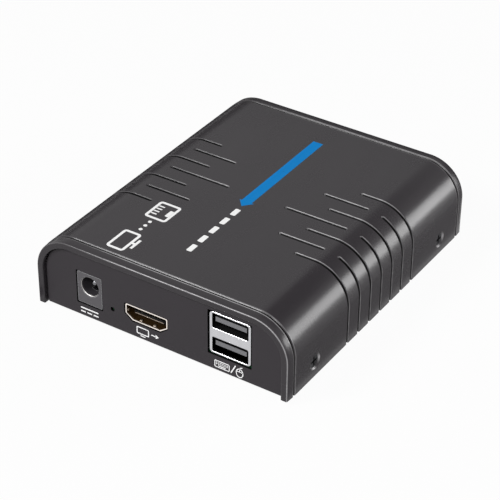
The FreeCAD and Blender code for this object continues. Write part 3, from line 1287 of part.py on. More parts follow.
def make_status_lamp(name, x):
    """Turn one status lamp: flange behind the holder, round lens out through the rear panel."""
    body = new_body(name)
    section = new_sketch(body, "YZ_Plane", f"{name}_section", x, lift=STATUS_Z)
    radius = "(dim.status_diameter / 2)"
    tip = f"{PANEL_FACE} + dim.status_proud"
    add_outline(section, (
        (f"{HOLDER_REAR} - dim.status_flange_length", "0"),
        (tip, "0"),
        (tip, radius, f"{radius} * dim.round_share"),
        (HOLDER_REAR, radius),
        (HOLDER_REAR, "dim.status_flange / 2"),
        (f"{HOLDER_REAR} - dim.status_flange_length", "dim.status_flange / 2"),
    ))
    revolve(body, section, f"{name}_turned", "H_Axis")
    return body


# Parts on the board

SINK_Z = f"({BOARD_TOP} + dim.chip_height + dim.pad_thickness)"


def make_heat_sink():
    """Extrude the heat sink: a base with a row of upright fins."""
    body = new_body("heat_sink")
    base = new_sketch(body, "XY_Plane", "sink_base_outline", SINK_Z)
    x, y = board_place("processor")
    half = "(dim.sink_size / 2)"
    y_range = (f"{y} - {half}", f"{y} + {half}")
    add_rectangle(base, f"{x} - {half}", f"{x} + {half}", *y_range)
    extrude("Pad", body, base, "sink_base", "dim.sink_base")
    fin = new_sketch(body, "XY_Plane", "first_fin_outline", f"{SINK_Z} + dim.sink_base")
    add_rectangle(fin, f"{x} - {half}", f"{x} - {half} + dim.fin_thickness", *y_range)
    first = extrude("Pad", body, fin, "first_fin", "dim.fin_height")
    row_of(body, first, "fins", "dim.sink_size - dim.fin_thickness", "dim.fin_count")
    return body


def make_capacitor(name, x, y):
    """Make a can capacitor: crimped can on a square base."""
    body = new_body(name)
    base = new_sketch(body, "XY_Plane", f"{name}_base_outline")
    half = "dim.can_base / 2"
    add_rectangle(base, f"-{half}", half, f"-{half}", half)
    extrude("Pad", body, base, f"{name}_base", "dim.can_base_height")
    section = new_sketch(body, "XZ_Plane", f"{name}_can_section")
    low = "dim.can_base_height"
    crimp = f"({low} + dim.can_height / 6)"
    radius = "(dim.can_diameter / 2)"
    add_outline(section, (
        ("0", low), (radius, low), (radius, f"{crimp} - dim.can_groove"),
        (f"{radius} - dim.can_groove", crimp), (radius, f"{crimp} + dim.can_groove"),
        (radius, f"{low} + dim.can_height - dim.can_groove"),
        (f"{radius} - dim.can_groove", f"{low} + dim.can_height"), ("0", f"{low} + dim.can_height"),
    ))
    revolve(body, section, f"{name}_can", "V_Axis")
    return place(body, x, y, BOARD_TOP)


def make_rounded_part(name, x, y, length, width, height, rounding):
    """Make an upright part with rounded corners that stands on the board."""
    body = new_body(name)
    outline = new_sketch(body, "XY_Plane", f"{name}_outline")
    add_rectangle(outline, f"-{length} / 2", f"{length} / 2", f"-{width} / 2", f"{width} / 2", rounding)
    extrude("Pad", body, outline, f"{name}_block", height)
    return place(body, x, y, BOARD_TOP)


def make_flat_chip(part, kind):
    """Make a chip that lies flat on the board."""
    x, y = board_place(part)
    length, width, height = (f"dim.{kind}_{size}" for size in ("length", "width", "height"))
    return block(f"{part}_case", x, y, BOARD_TOP, length, width, height)


def make_leaded_chip(part, kind):
    """Make a chip that stands on pairs of flat leads."""
    x, y = board_place(part)
    length, width, height = (f"dim.{kind}_{size}" for size in ("length", "width", "height"))
    leads = int(value(f"dim.{kind}_leads"))
    solids = [block(f"{part}_case", x, y, f"{BOARD_TOP} + dim.lead_thickness", length, width,
                    f"{height} - dim.lead_thickness")]
    for i in range(leads):
        lead_x = f"{x} + dim.{kind}_pitch * {i - (leads - 1) / 2}"
        solids.append(block(f"{part}_leads_{i + 1}", lead_x, y, BOARD_TOP, "dim.lead_width",
                            f"{width} + 2 * dim.lead_reach", "dim.lead_thickness"))
    return join(f"{part}_whole", solids)


def build():
    """Make every piece and label it."""
    keep(make_cover(), "top_cover")
    keep(make_tray(), "base_tray")
    foot_x = f"({TRAY_SIDE} - dim.foot_side_inset)"
    foot_y = f"({PANEL_FACE} - dim.foot_end_inset)"
    for depth, y in (("front", f"-{foot_y}"), ("rear", foot_y)):
        for side, x in (("left", f"-{foot_x}"), ("right", foot_x)):
            keep(make_foot(f"foot_{depth}_{side}", x, y), f"foot_{depth}_{side}")
    keep(make_side_screws(), "cover_screws")
    keep(make_board(), "main_board")
    keep(make_standoffs(), "board_standoffs")
    keep(make_board_screws(), "board_screws")

    keep(make_jack_body(), "power_jack_body")
    keep(make_jack_pin(), "power_jack_pin")
    keep(make_jack_spring(), "power_jack_spring")
    keep(make_reset_housing(), "reset_switch_housing")
    keep(make_reset_frame(), "reset_switch_frame")
    keep(make_reset_plunger(), "reset_plunger")
    keep(make_video_shell(), "video_port_shell")
    keep(make_video_insulator(), "video_port_insulator")
    keep(make_video_contacts(), "video_port_contacts")
    keep(make_twin_shell(), "peripheral_port_shell")
    keep(make_twin_insulator(), "peripheral_port_insulator")
    keep(make_twin_contacts(), "peripheral_port_contacts")

    keep(make_net_shield(), "network_jack_shield")
    keep(make_net_housing(), "network_jack_housing")
    keep(make_net_contacts(), "network_jack_contacts")
    keep(make_net_lamp("net_lamp_left", "+"), "network_lamp_left")
    keep(make_net_lamp("net_lamp_right", "-"), "network_lamp_right")
    for step, name in enumerate(("power", "link")):
        x = f"(dim.status_x + {step} * dim.status_pitch)"
        keep(make_lamp_holder(f"{name}_holder", x), f"{name}_lamp_holder")
        keep(make_status_lamp(f"{name}_lamp", x), f"{name}_lamp")

    processor_place = board_place("processor")
    keep(block("chip", *processor_place, BOARD_TOP,
               "dim.chip_size", "dim.chip_size", "dim.chip_height"), "processor")
    keep(block("pad", *processor_place, f"{BOARD_TOP} + dim.chip_height",
               "dim.pad_size", "dim.pad_size", "dim.pad_thickness"), "thermal_pad")
    keep(make_heat_sink(), "heat_sink")
    for i in (1, 2):
        keep(make_capacitor(f"can_{i}", *board_place(f"capacitor_{i}")), f"capacitor_{i}")
        keep(make_rounded_part(f"coil_{i}", *board_place(f"inductor_{i}"), "dim.coil_size", "dim.coil_size",
                               "dim.coil_height", "dim.coil_corner"), f"inductor_{i}")
        keep(make_rounded_part(f"crystal_can_{i}", *board_place(f"crystal_{i}"), "dim.crystal_length",
                               "dim.crystal_width", "dim.crystal_height",
                               "dim.crystal_width / 2 * dim.round_share"), f"crystal_{i}")
        keep(make_flat_chip(f"memory_chip_{i}", "memory_chip"), f"memory_chip_{i}")
        keep(make_leaded_chip(f"regulator_{i}", "regulator"), f"regulator_{i}")
    for part in ("video_driver_chip", "network_chip"):
        keep(make_flat_chip(part, part), part)
    for part in ("flash_chip", "network_transformer"):
        keep(make_leaded_chip(part, part), part)


def check_and_export(folder):
    """Stop if anything failed to build, then write every piece to its own file."""
    doc.recompute()
    for item in doc.Objects:
        if {"Invalid", "Error"} & set(item.State):
            raise RuntimeError(f"{item.Name} did not build: {item.State}")
    os.makedirs(folder, exist_ok=True)
    for piece in pieces:
        if piece.Shape.isNull() or not piece.Shape.isValid():
            raise RuntimeError(f"{piece.Label} has no valid shape")
        piece.Shape.exportStep(os.path.join(folder, f"{piece.Label}.step"))


build()
check_and_export("parts")
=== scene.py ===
import logging
import math
from dataclasses import dataclass, field, replace
from enum import Enum
from functools import cache
from typing import NamedTuple

import bpy
import numpy as np
from mathutils import Color, Matrix, Vector
from numpy.typing import NDArray


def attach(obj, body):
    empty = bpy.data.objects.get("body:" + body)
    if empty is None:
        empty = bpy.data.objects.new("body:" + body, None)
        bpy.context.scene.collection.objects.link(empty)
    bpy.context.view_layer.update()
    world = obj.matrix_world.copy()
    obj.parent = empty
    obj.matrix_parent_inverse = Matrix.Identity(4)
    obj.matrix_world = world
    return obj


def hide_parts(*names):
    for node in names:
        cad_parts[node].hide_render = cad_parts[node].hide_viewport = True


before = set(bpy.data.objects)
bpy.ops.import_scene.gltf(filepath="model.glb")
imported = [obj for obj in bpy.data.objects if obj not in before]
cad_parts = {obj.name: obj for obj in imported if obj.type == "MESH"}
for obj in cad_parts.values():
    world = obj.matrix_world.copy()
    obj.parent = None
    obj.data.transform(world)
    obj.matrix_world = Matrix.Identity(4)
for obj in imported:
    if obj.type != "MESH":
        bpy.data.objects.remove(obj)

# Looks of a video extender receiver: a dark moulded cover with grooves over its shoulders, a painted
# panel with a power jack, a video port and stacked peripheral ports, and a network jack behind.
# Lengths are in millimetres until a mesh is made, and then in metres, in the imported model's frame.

Floats = NDArray[np.float64]
Ints = NDArray[np.int64]
Shape = tuple[Floats, Ints]
Pair = tuple[float, float]
Triple = tuple[float, float, float]
Colour = tuple[float, float, float, float]
Piece = bpy.types.Object
Socket = bpy.types.NodeSocket
Feed = Socket | float | tuple[float, ...]

MM = 0.001
TINY = 1e-9
QUARTER_TURN = math.pi / 2
EVEN = (1.0, 1.0, 1.0)
NOISE_MIDDLE = 0.5
SHEET_CORNERS = np.array([(-0.5, -0.5), (0.5, -0.5), (0.5, 0.5), (-0.5, 0.5)])
# Numbers of the sockets of a Mix node that mixes colours
MIX_LOW, MIX_HIGH, MIX_RESULT = 6, 7, 2
LOG = logging.getLogger("receiver")


# Meshes


def grid_quads(rows: int, columns: int, rows_close: bool = False, columns_close: bool = False) -> Ints:
    """List the quads of a grid of points numbered row by row.

    Args:
        rows: Number of rows.
        columns: Number of points in a row.
        rows_close: Whether the last row joins the first.
        columns_close: Whether the last point of a row joins its first.

    Returns:
        One line of four point numbers for each quad.
    """
    row, column = np.meshgrid(
        np.arange(rows if rows_close else rows - 1),
        np.arange(columns if columns_close else columns - 1),
        indexing="ij",
    )
    next_row, next_column = (row + 1) % rows, (column + 1) % columns
    corners = ((row, column), (row, next_column), (next_row, next_column), (next_row, column))
    return np.stack([one * columns + other for one, other in corners], axis=-1).reshape(-1, 4)


def make_piece(name: str, points: Floats, faces: Ints, sharp_angle: float = 40.0) -> Piece:
    """Make a smooth mesh object with its place in its vertices.

    Args:
        name: Name of the piece.
        points: Corner points in millimetres, any shape that ends in three.
        faces: Point numbers, one line for each face.
        sharp_angle: Angle in degrees past which an edge shows as sharp.

    Returns:
        The new object, linked to the scene.
    """
    mesh = bpy.data.meshes.new(name)
    mesh.from_pydata((points.reshape(-1, 3) * MM).tolist(), [], faces.tolist())
    mesh.polygons.foreach_set("use_smooth", np.ones(len(faces), dtype=bool))
    mesh.set_sharp_from_angle(angle=math.radians(sharp_angle))
    mesh.validate()
    piece = bpy.data.objects.new(name, mesh)
    bpy.context.scene.collection.objects.link(piece)
    return piece


def make_sheet(name: str, middle: Triple, across: Triple, along: Triple) -> Piece:
    """Make a flat sheet, whose corners lie half of each of its sides from its middle."""
    corners = np.array(middle) + SHEET_CORNERS @ np.array([across, along])
    return make_piece(name, corners, np.arange(len(corners))[None])


@dataclass(frozen=True)
class Plane:
    """A flat face that thin pieces lie on: its origin and two directions in it."""

    origin: Triple
    across: Triple
    along: Triple

    def lay(self, flat: Floats) -> Floats:
        """Carry (across, along, out) to x, y and z: the origin plus each measure times its direction."""
        axes = np.stack([self.across, self.along, np.cross(self.across, self.along)])
        return np.array(self.origin) + flat @ axes


def layered(base: Floats, reach: Floats, levels: tuple[Pair, ...]) -> Floats:
    """Return a row of points for each level: the base plus a share of the reach, at a height."""
    rows = [(base + share * reach, np.full(len(reach), height)) for share, height in levels]
    return np.stack([np.column_stack(row) for row in rows])


def stroke(path: Floats, width: float, thickness: float, closed: bool) -> Shape:
    """Carry a flat rectangle along a path, as a printed line.

    Each path point moves half the width to either side along its mitre, the bisector of the two
    runs that meet there divided by the cosine of half the turn; the four corners of the rectangle
    are those two places at the bottom and the top.

    Args:
        path: Middle line, one (across, along) pair for each point.
        width: Width of the line.
        thickness: Height of the line over the plane.
        closed: Whether the last point joins the first.

    Returns:
        Points on the plane and faces.
    """
    ahead = np.roll(path, -1, axis=0) - path
    behind = np.roll(ahead, 1, axis=0)
    if not closed:
        ahead[-1] = behind[-1]
        behind[0] = ahead[0]
    ahead = ahead / np.linalg.norm(ahead, axis=1, keepdims=True)
    behind = behind / np.linalg.norm(behind, axis=1, keepdims=True)
    side = np.stack([-(ahead + behind)[:, 1], (ahead + behind)[:, 0]], axis=1)
    side /= np.linalg.norm(side, axis=1, keepdims=True)
    turn = np.sum(side * np.stack([-ahead[:, 1], ahead[:, 0]], axis=1), axis=1, keepdims=True)
    reach = side * (width / 2) / turn
    levels = ((-1.0, 0.0), (-1.0, thickness), (1.0, thickness), (1.0, 0.0))
    faces = grid_quads(len(path), len(levels), rows_close=closed, columns_close=True)[:, ::-1]
    if not closed:
        first = np.arange(len(levels))[None]
        last = first[:, ::-1] + (len(path) - 1) * len(levels)
        faces = np.vstack([faces, first, last])
    return layered(path, reach, levels).swapaxes(0, 1), faces


def patch(outline: Floats, thickness: float, core: float = 0.02) -> Shape:
    """Fill an outline as a thin plate.

    Rings of points run round the outline at shares of the way out from its middle: the core of
    the underside, the edge below, the edge above and the core of the top.

    Args:
        outline: Points round the edge in order, anticlockwise, as (across, along).
        thickness: Height of the plate over the plane.
        core: Share of the way out of the innermost rings.

    Returns:
        Points on the plane and faces.
    """
    middle = outline.mean(axis=0)
    rings = ((core, 0.0), (1.0, 0.0), (1.0, thickness), (core, thickness))
    faces = grid_quads(len(rings), len(outline), rows_close=True, columns_close=True)
    return layered(middle, outline - middle, rings), faces


def even_circle(steps: int) -> Floats:
    """Return points spaced evenly round a circle of radius 1, anticlockwise."""
    turn = np.linspace(0.0, 2 * math.pi, steps, endpoint=False)
    return np.column_stack([np.cos(turn), np.sin(turn)])


def rounded_rectangle(low: Pair, high: Pair, radius: float, steps: int = 7) -> Floats:
    """Trace a rectangle whose corners are quarter circles.

    Args:
        low: Lower left corner.
        high: Upper right corner.
        radius: Radius of the corners.
        steps: Number of points round a corner.

    Returns:
        Points round the edge, anticlockwise: each corner's centre plus the radius at 0 to 90 degrees
        on from the corner before.
    """
    (left, bottom), (right, top) = np.array(low) + radius, np.array(high) - radius
    centres = ((right, top), (left, top), (left, bottom), (right, bottom))
    starts = np.arange(len(centres)) * QUARTER_TURN
    turn = np.add.outer(starts, np.linspace(0.0, QUARTER_TURN, steps)).ravel()
    return np.repeat(centres, steps, axis=0) + radius * np.column_stack([np.cos(turn), np.sin(turn)])


def joined(shapes: list[Shape]) -> Shape:
    """Put several shapes into one list of points and one of faces.

    Args:
        shapes: Points and quads of each shape.

    Returns:
        All points and all quads, with the point numbers moved on.
    """
    points = [shape[0].reshape(-1, 3) for shape in shapes]
    starts = np.cumsum([0] + [len(one) for one in points])
    faces = [shape[1] + start for shape, start in zip(shapes, starts)]
    return np.vstack(points), np.vstack(faces)


# Shader nodes


@dataclass
class NodeLoom:
    """Adds nodes to one shader tree and joins them."""

    tree: bpy.types.NodeTree

    def add(self, kind: str, inputs: dict[str | int, Feed], **settings: object) -> bpy.types.Node:
        """Add a node.

        Args:
            kind: The node's type without its common prefix.
            inputs: A value or a socket for each input, by name or number.
            settings: Properties of the node.

        Returns:
            The node.
        """
        node = self.tree.nodes.new(f"ShaderNode{kind}")
        for setting, value in settings.items():
            setattr(node, setting, value)
        for socket, feed in inputs.items():
            self.feed(node.inputs[socket], feed)
        return node

    def feed(self, socket: Socket, feed: Feed) -> None:
        """Link a socket to another, or set its value.

        Args:
            socket: The input.
            feed: An output socket, or a value.
        """
        if isinstance(feed, Socket):
            self.tree.links.new(feed, socket)
        else:
            socket.default_value = feed

    def calculate(self, operation: str, *feeds: Feed) -> Socket:
        """Add a Math node and return its result."""
        return self.add("Math", dict(enumerate(feeds)), operation=operation).outputs[0]

    def times(self, one: Feed, other: Feed) -> Socket:
        """Return the product of two numbers."""
        return self.calculate("MULTIPLY", one, other)

    def plus(self, one: Feed, other: Feed) -> Socket:
        """Return the sum of two numbers."""
        return self.calculate("ADD", one, other)

    def between(self, mask: Feed, low: Feed, high: Feed) -> Socket:
        """Mix two colours by a mask and return the result."""
        mixed = self.add("Mix", {0: mask, MIX_LOW: low, MIX_HIGH: high}, data_type="RGBA")
        return mixed.outputs[MIX_RESULT]

    def spread(self, value: Feed, source: Pair, target: Pair = (0.0, 1.0)) -> Socket:
        """Map a value from one range to another, held at its ends, and return the result."""
        return self.add("MapRange", dict(enumerate((value, *source, *target)))).outputs[0]

    def coordinate(self, name: str) -> Socket:
        """Return a texture coordinate of the piece."""
        return self.add("TexCoord", {}).outputs[name]

    def lengthwise(self, name: str) -> Socket:
        """Return the part along the box of a texture coordinate."""
        return self.add("SeparateXYZ", {0: self.coordinate(name)}).outputs["Y"]

    def attribute(self, name: str) -> Socket:
        """Return a number that the piece's points carry."""
        return self.add("Attribute", {}, attribute_name=name).outputs["Fac"]

    def noise(self, feature_mm: float, detail: float, stretch: Triple = EVEN) -> Socket:
        """Add noise on Object coordinates.

        Args:
            feature_mm: Size of one feature.
            detail: Octaves of finer noise.
            stretch: How much the coordinates are scaled along each axis before the noise.

        Returns:
            The noise, which swings by half to either side of 0.
        """
        scaled = self.add("Mapping", {"Vector": self.coordinate("Object"), "Scale": stretch}).outputs[0]
        inputs = {"Vector": scaled, "Scale": 1.0 / (feature_mm * MM), "Detail": detail}
        return self.calculate("SUBTRACT", self.add("TexNoise", inputs).outputs[0], NOISE_MIDDLE)


@dataclass
class GroupLoom(NodeLoom):
    """Builds the node groups of the shared effects, with named sockets."""

    fine_share: float = 0.7

    def take(self, **inputs: float) -> list[Socket]:
        """Make the group's number inputs.

        Args:
            inputs: First value of each input.

        Returns:
            The sockets that bring the inputs into the group.
        """
        for name, value in inputs.items():
            socket = self.tree.interface.new_socket(name, in_out="INPUT", socket_type="NodeSocketFloat")
            socket.default_value = value
        entrance = self.tree.nodes.new("NodeGroupInput")
        return [entrance.outputs[name] for name in inputs]

    def give(self, **outputs: Socket) -> None:
        """Make the group's number outputs.

        Args:
            outputs: What feeds each output.
        """
        for name in outputs:
            self.tree.interface.new_socket(name, in_out="OUTPUT", socket_type="NodeSocketFloat")
        way_out = self.tree.nodes.new("NodeGroupOutput")
        for name, socket in outputs.items():
            self.tree.links.new(socket, way_out.inputs[name])

    def grain(self) -> None:
        """Build fine moulded grain: two sizes of noise, as a height and as a roughness that follows it."""
        [gloss] = self.take(Gloss=0.1)
        fine = self.times(self.noise(feature_mm=0.16, detail=2.0), self.fine_share)
        coarse = self.times(self.noise(feature_mm=0.6, detail=1.0), 1.0 - self.fine_share)
        mixed = self.plus(fine, coarse)
        self.give(Height=mixed, Roughness=self.times(mixed, gloss))

    def handling(self) -> None:
        """Build faint marks of handling: broad clouds of tone, and smears that change the gloss."""
        tone, gloss = self.take(Tone=0.1, Gloss=0.1)
        clouds = self.noise(feature_mm=22.0, detail=3.0)
        smears = self.noise(feature_mm=9.0, detail=4.0, stretch=(1.0, 0.35, 1.0))
        self.give(Tone=self.plus(self.times(clouds, tone), 1.0), Roughness=self.times(smears, gloss))

    def edge_highlight(self) -> None:
        """Build a painted edge highlight: a mask of edges broken up by noise."""
        edge, amount = self.take(Edge=0.0, Amount=0.5)
        patches = self.noise(feature_mm=2.4, detail=4.0)
        broken = self.spread(patches, source=(-0.15, 0.15), target=(0.7, 1.0))
        self.give(Mask=self.times(self.times(edge, broken), amount))

    def brushed(self) -> None:
        """Build drawn metal: noise stretched along the box, as a height, a tone and a roughness."""
        tone, gloss = self.take(Tone=0.1, Gloss=0.1)
        lines = self.noise(feature_mm=0.12, detail=2.0, stretch=(1.0, 0.06, 1.0))
        clouds = self.noise(feature_mm=3.0, detail=3.0)
        toned = self.plus(self.times(clouds, tone), 1.0)
        self.give(Height=lines, Tone=toned, Roughness=self.times(clouds, gloss))


class Effect(Enum):
    """Surface effects that several finishes share, each a node group built once."""

    GRAIN = "moulded_grain"
    HANDLING = "handling_marks"
    EDGE_HIGHLIGHT = "edge_highlight"
    BRUSHED = "brushed_lines"

    @cache
    def group(self) -> bpy.types.NodeTree:
        """Build the effect's node group, once.

        Returns:
            The group.
        """
        loom = GroupLoom(bpy.data.node_groups.new(self.value, "ShaderNodeTree"))
        builders = {
            Effect.GRAIN: loom.grain,
            Effect.HANDLING: loom.handling,
            Effect.EDGE_HIGHLIGHT: loom.edge_highlight,
            Effect.BRUSHED: loom.brushed,
        }
        builders[self]()
        return loom.tree

    def place(self, loom: NodeLoom, **inputs: Feed) -> bpy.types.bpy_prop_collection:
        """Place the effect in a material and return its outputs."""
        return loom.add("Group", inputs, node_tree=self.group()).outputs


# Finishes


def srgb(code: str) -> Colour:
    """Turn a colour written as six hexadecimal digits into linear light with a full alpha."""
    levels = [level / 255 for level in bytes.fromhex(code)]
    return *Color(levels).from_srgb_to_scene_linear(), 1.0


def grey(level: float) -> Colour:
    """Return a grey of linear light with a full alpha."""
    return level, level, level, 1.0


class EdgeSource(Enum):
    """How a finish finds the edges that get a painted highlight: not at all, by the attribute so named, or
    by rounding.
    """

    NONE = "none"
    ATTRIBUTE = "edge"
    BEVEL = "bevel"


class PaintedShade(Enum):
    """Where a finish gets painted shade, as if no light got in; the slots are an attribute so named."""

    NOWHERE = "nowhere"
    SLOTS = "slot"
    INSIDE = "inside a port's mouth"
    SIDES = "faces turned away from the front"
    CUTS = "walls of the openings cut through the end panels"


@dataclass(frozen=True)
class Surface:
    """What a finish hands to its shader: what changes over the surface, and plain settings."""

    colour: Socket
    roughness_change: Socket
    height: Socket | None = None
    relief_mm: float = 0.0
    settings: dict[str, float | Triple] = field(default_factory=dict)


@dataclass(frozen=True)
class Finish:
    """What every finish has: a name, a colour, a roughness, and where painted shade darkens it."""

    name: str
    colour: str
    roughness: float
    # Painted shade: where it falls, its deep colour, and the mouth and fade of the shade inside a port
    dark: PaintedShade = PaintedShade.NOWHERE
    deep: str = "0c0c0d"
    mouth_mm: float = -51.5
    fade_mm: float = 1.0
    panel_mm: Pair = (51.0, 51.1)
    facing: float = 0.9
    turned: float = 0.6

    @cache
    def material(self) -> bpy.types.Material:
        """Build the finish's material, once.

        Returns:
            The material.
        """
        made = bpy.data.materials.new(self.name)
        made.use_nodes = True
        loom = NodeLoom(made.node_tree)
        sockets = made.node_tree.nodes["Principled BSDF"].inputs
        surface = self.weave(loom)
        loom.feed(sockets["Base Color"], surface.colour)
        loom.feed(sockets["Roughness"], loom.plus(surface.roughness_change, self.roughness))
        for name, value in surface.settings.items():
            sockets[name].default_value = value
        if surface.height is not None:
            relief = {"Height": surface.height, "Distance": surface.relief_mm * MM, "Strength": 1.0}
            loom.feed(sockets["Normal"], loom.add("Bump", relief).outputs[0])
        return made

    def weave(self, loom: NodeLoom) -> Surface:
        """Work out the surface with the material's loom, in each kind of finish."""
        raise NotImplementedError

    def tinted(self, loom: NodeLoom, tone: Socket) -> Socket:
        """Work out the colour before the painted edge highlight.

        Args:
            loom: The material's loom.
            tone: What the finish's own colour is multiplied by.

        Returns:
            The toned colour, turned to the deep colour of the painted shade where the finish is dark.
        """
        own = {0: srgb(self.colour)[:3], "Scale": tone}
        toned = loom.add("VectorMath", own, operation="SCALE").outputs[0]
        if self.dark is PaintedShade.NOWHERE:
            return toned
        return loom.between(self.shade(loom), toned, srgb(self.deep))

    def shade(self, loom: NodeLoom) -> Socket:
        """Mask the painted shade of the finish.

        Args:
            loom: The material's loom.

        Returns:
            A mask that is 1 where shade is painted: the slots' own attribute, the depth past a port's
                mouth,
            faces that don't look out of the front, or faces that look sideways within a panel of either
            end.
        """
        if self.dark is PaintedShade.SLOTS:
            return loom.attribute(self.dark.value)
        if self.dark is PaintedShade.INSIDE:
            mouth, deep = self.mouth_mm * MM, (self.mouth_mm + self.fade_mm) * MM
            return loom.spread(loom.lengthwise("Object"), (mouth, deep))
        if self.dark is PaintedShade.SIDES:
            return loom.spread(loom.lengthwise("Normal"), (-self.facing, -self.turned))
        normal = loom.calculate("ABSOLUTE", loom.lengthwise("Normal"))
        place = loom.calculate("ABSOLUTE", loom.lengthwise("Object"))
        start, full = self.panel_mm
        in_panel = loom.spread(place, (start * MM, full * MM))
        return loom.times(loom.spread(normal, (self.facing, self.turned)), in_panel)


@dataclass(frozen=True)
class PlasticFinish(Finish):
    """Moulded, painted or printed surfaces: grain, handling marks and edges lightened as a painted
    highlight.
    """

    grain_mm: float = 0.012
    tone: float = 0.10
    gloss: float = 0.10
    specular: float = 0.5
    # Painted edge highlight: which edges get it, its colour, and how strongly it is mixed in
    edges: EdgeSource = EdgeSource.NONE
    highlight_colour: str = "b4b4b6"
    highlight_amount: float = 0.9
    bevel_mm: float = 0.35
    bevel_samples: int = 4
    agreement: Pair = (0.98, 0.75)

    def weave(self, loom: NodeLoom) -> Surface:
        """Work out the surface.

        Args:
            loom: The material's loom.

        Returns:
            Grain as relief, grain and marks as gloss, and a colour that is lightened along the edges as a
            painted highlight.
        """
        grain = Effect.GRAIN.place(loom, Gloss=self.gloss)
        marks = Effect.HANDLING.place(loom, Tone=self.tone, Gloss=self.gloss)
        colour = self.tinted(loom, marks["Tone"])
        # Painted highlight: the edges are lightened towards the highlight colour
        if self.edges is not EdgeSource.NONE:
            highlighted = Effect.EDGE_HIGHLIGHT.place(loom, Edge=self.edge_mask(loom), Amount=self.highlight_amount)
            colour = loom.between(highlighted["Mask"], colour, srgb(self.highlight_colour))
        change = loom.plus(grain["Roughness"], marks["Roughness"])
        settings = {"Specular IOR Level": self.specular}
        return Surface(colour, change, grain["Height"], self.grain_mm, settings)

    def edge_mask(self, loom: NodeLoom) -> Socket:
        """Mask the edges that get the painted highlight.

        Args:
            loom: The material's loom.

        Returns:
            1 on an edge and 0 away from it: the piece's own attribute, or how far a rounded normal
            departs from the plain one.
        """
        if self.edges is EdgeSource.ATTRIBUTE:
            return loom.attribute(self.edges.value)
        rounded = loom.add("Bevel", {"Radius": self.bevel_mm * MM}, samples=self.bevel_samples).outputs[0]
        plain = loom.add("NewGeometry", {}).outputs["Normal"]
        agreement = loom.add("VectorMath", {0: rounded, 1: plain}, operation="DOT_PRODUCT").outputs["Value"]
        return loom.spread(agreement, self.agreement)


@dataclass(frozen=True)
class MetalFinish(Finish):
    """Plated, drawn or turned metal."""

    # Deep colour of the painted shade on metal
    deep: str = "141415"
    lines_mm: float = 0.004
    tone: float = 0.15
    gloss: float = 0.15
    metallic: float = 1.0

    def weave(self, loom: NodeLoom) -> Surface:
        """Work out the surface.

        Args:
            loom: The material's loom.

        Returns:
            Drawn lines as relief, and clouds as tone and gloss.
        """
        drawn = Effect.BRUSHED.place(loom, Tone=self.tone, Gloss=self.gloss)
        colour, settings = self.tinted(loom, drawn["Tone"]), {"Metallic": self.metallic}
        return Surface(colour, drawn["Roughness"], drawn["Height"], self.lines_mm, settings)


@dataclass(frozen=True)
class LampFinish(Finish):
    """Tinted, half clear plastic of a lamp, with faint clouds of tone."""

    tone: float = 0.2
    gloss: float = 0.06
    clear: float = 0.35
    milky: float = 0.4
    scatter_mm: float = 1.0

    def weave(self, loom: NodeLoom) -> Surface:
        """Work out the surface.

        Args:
            loom: The material's loom.

        Returns:
            Handling marks as tone and gloss, and light that passes and scatters.
        """
        marks = Effect.HANDLING.place(loom, Tone=self.tone, Gloss=self.gloss)
        settings = {
            "Transmission Weight": self.clear,
            "Subsurface Weight": self.milky,
            "Subsurface Radius": (self.scatter_mm * MM,) * 3,
        }
        return Surface(self.tinted(loom, marks["Tone"]), marks["Roughness"], settings=settings)


@dataclass(frozen=True)
class BoardFinish(Finish):
    """Solder mask over copper: lighter lines where tracks run under it."""

    track: str = "2f7a45"
    track_share: float = 0.06
    track_fade: float = 0.2
    cell_mm: float = 4.0
    relief_mm: float = 0.03
    gloss: float = 0.1

    def weave(self, loom: NodeLoom) -> Surface:
        """Work out the surface.

        Args:
            loom: The material's loom.

        Returns:
            A brick pattern whose joints are the tracks, as colour and relief, and marks as gloss.
        """
        marks = Effect.HANDLING.place(loom, Gloss=self.gloss)
        cells = loom.add("TexBrick", {
            "Vector": loom.coordinate("Object"), "Scale": 1.0 / (self.cell_mm * MM),
            "Mortar Size": self.track_share, "Mortar Smooth": self.track_fade,
            "Color1": srgb(self.colour), "Color2": srgb(self.colour), "Mortar": srgb(self.track),
        }).outputs
        return Surface(cells["Color"], marks["Roughness"], cells["Fac"], self.relief_mm)


# Cover: painted highlights from its edge attribute on chamfers, shoulders, end edges and screw seats, and
# painted shade in the slots of its grooves
COVER_PLASTIC = PlasticFinish("cover_moulding", "2e2b2e", 0.26, PaintedShade.SLOTS, grain_mm=0.004, specular=0.24,
                              edges=EdgeSource.ATTRIBUTE, highlight_colour="dedcde", highlight_amount=0.6)
# Panel paint: painted shade turns the walls of the openings cut through the end panels near black
PANEL_PAINT = PlasticFinish("panel_paint", "343134", 0.42, PaintedShade.CUTS, grain_mm=0.008, specular=0.1)
# Jack face: painted shade darkens the bore past its mouth, and a painted highlight lightens all its edges
# found by rounding
JACK_PLASTIC = PlasticFinish("jack_moulding", "525053", 0.45, PaintedShade.INSIDE, deep="302e31", specular=0.2,
                             edges=EdgeSource.BEVEL)
BLACK_PLASTIC = PlasticFinish("black_moulding", "1c1c1e", 0.40)
# Tongue of the peripheral ports: mid grey, with painted shade on the faces turned away from the front
TONGUE_LIT_AND_SHADED = PlasticFinish("tongue_lit_and_shaded_moulding", "666669", 0.42, PaintedShade.SIDES)
# Pale strip on the video port's tongue: a painted highlight of its lower edge
TONGUE_HIGHLIGHT_PLASTIC = PlasticFinish("tongue_highlight_moulding", "8c8074", 0.42)
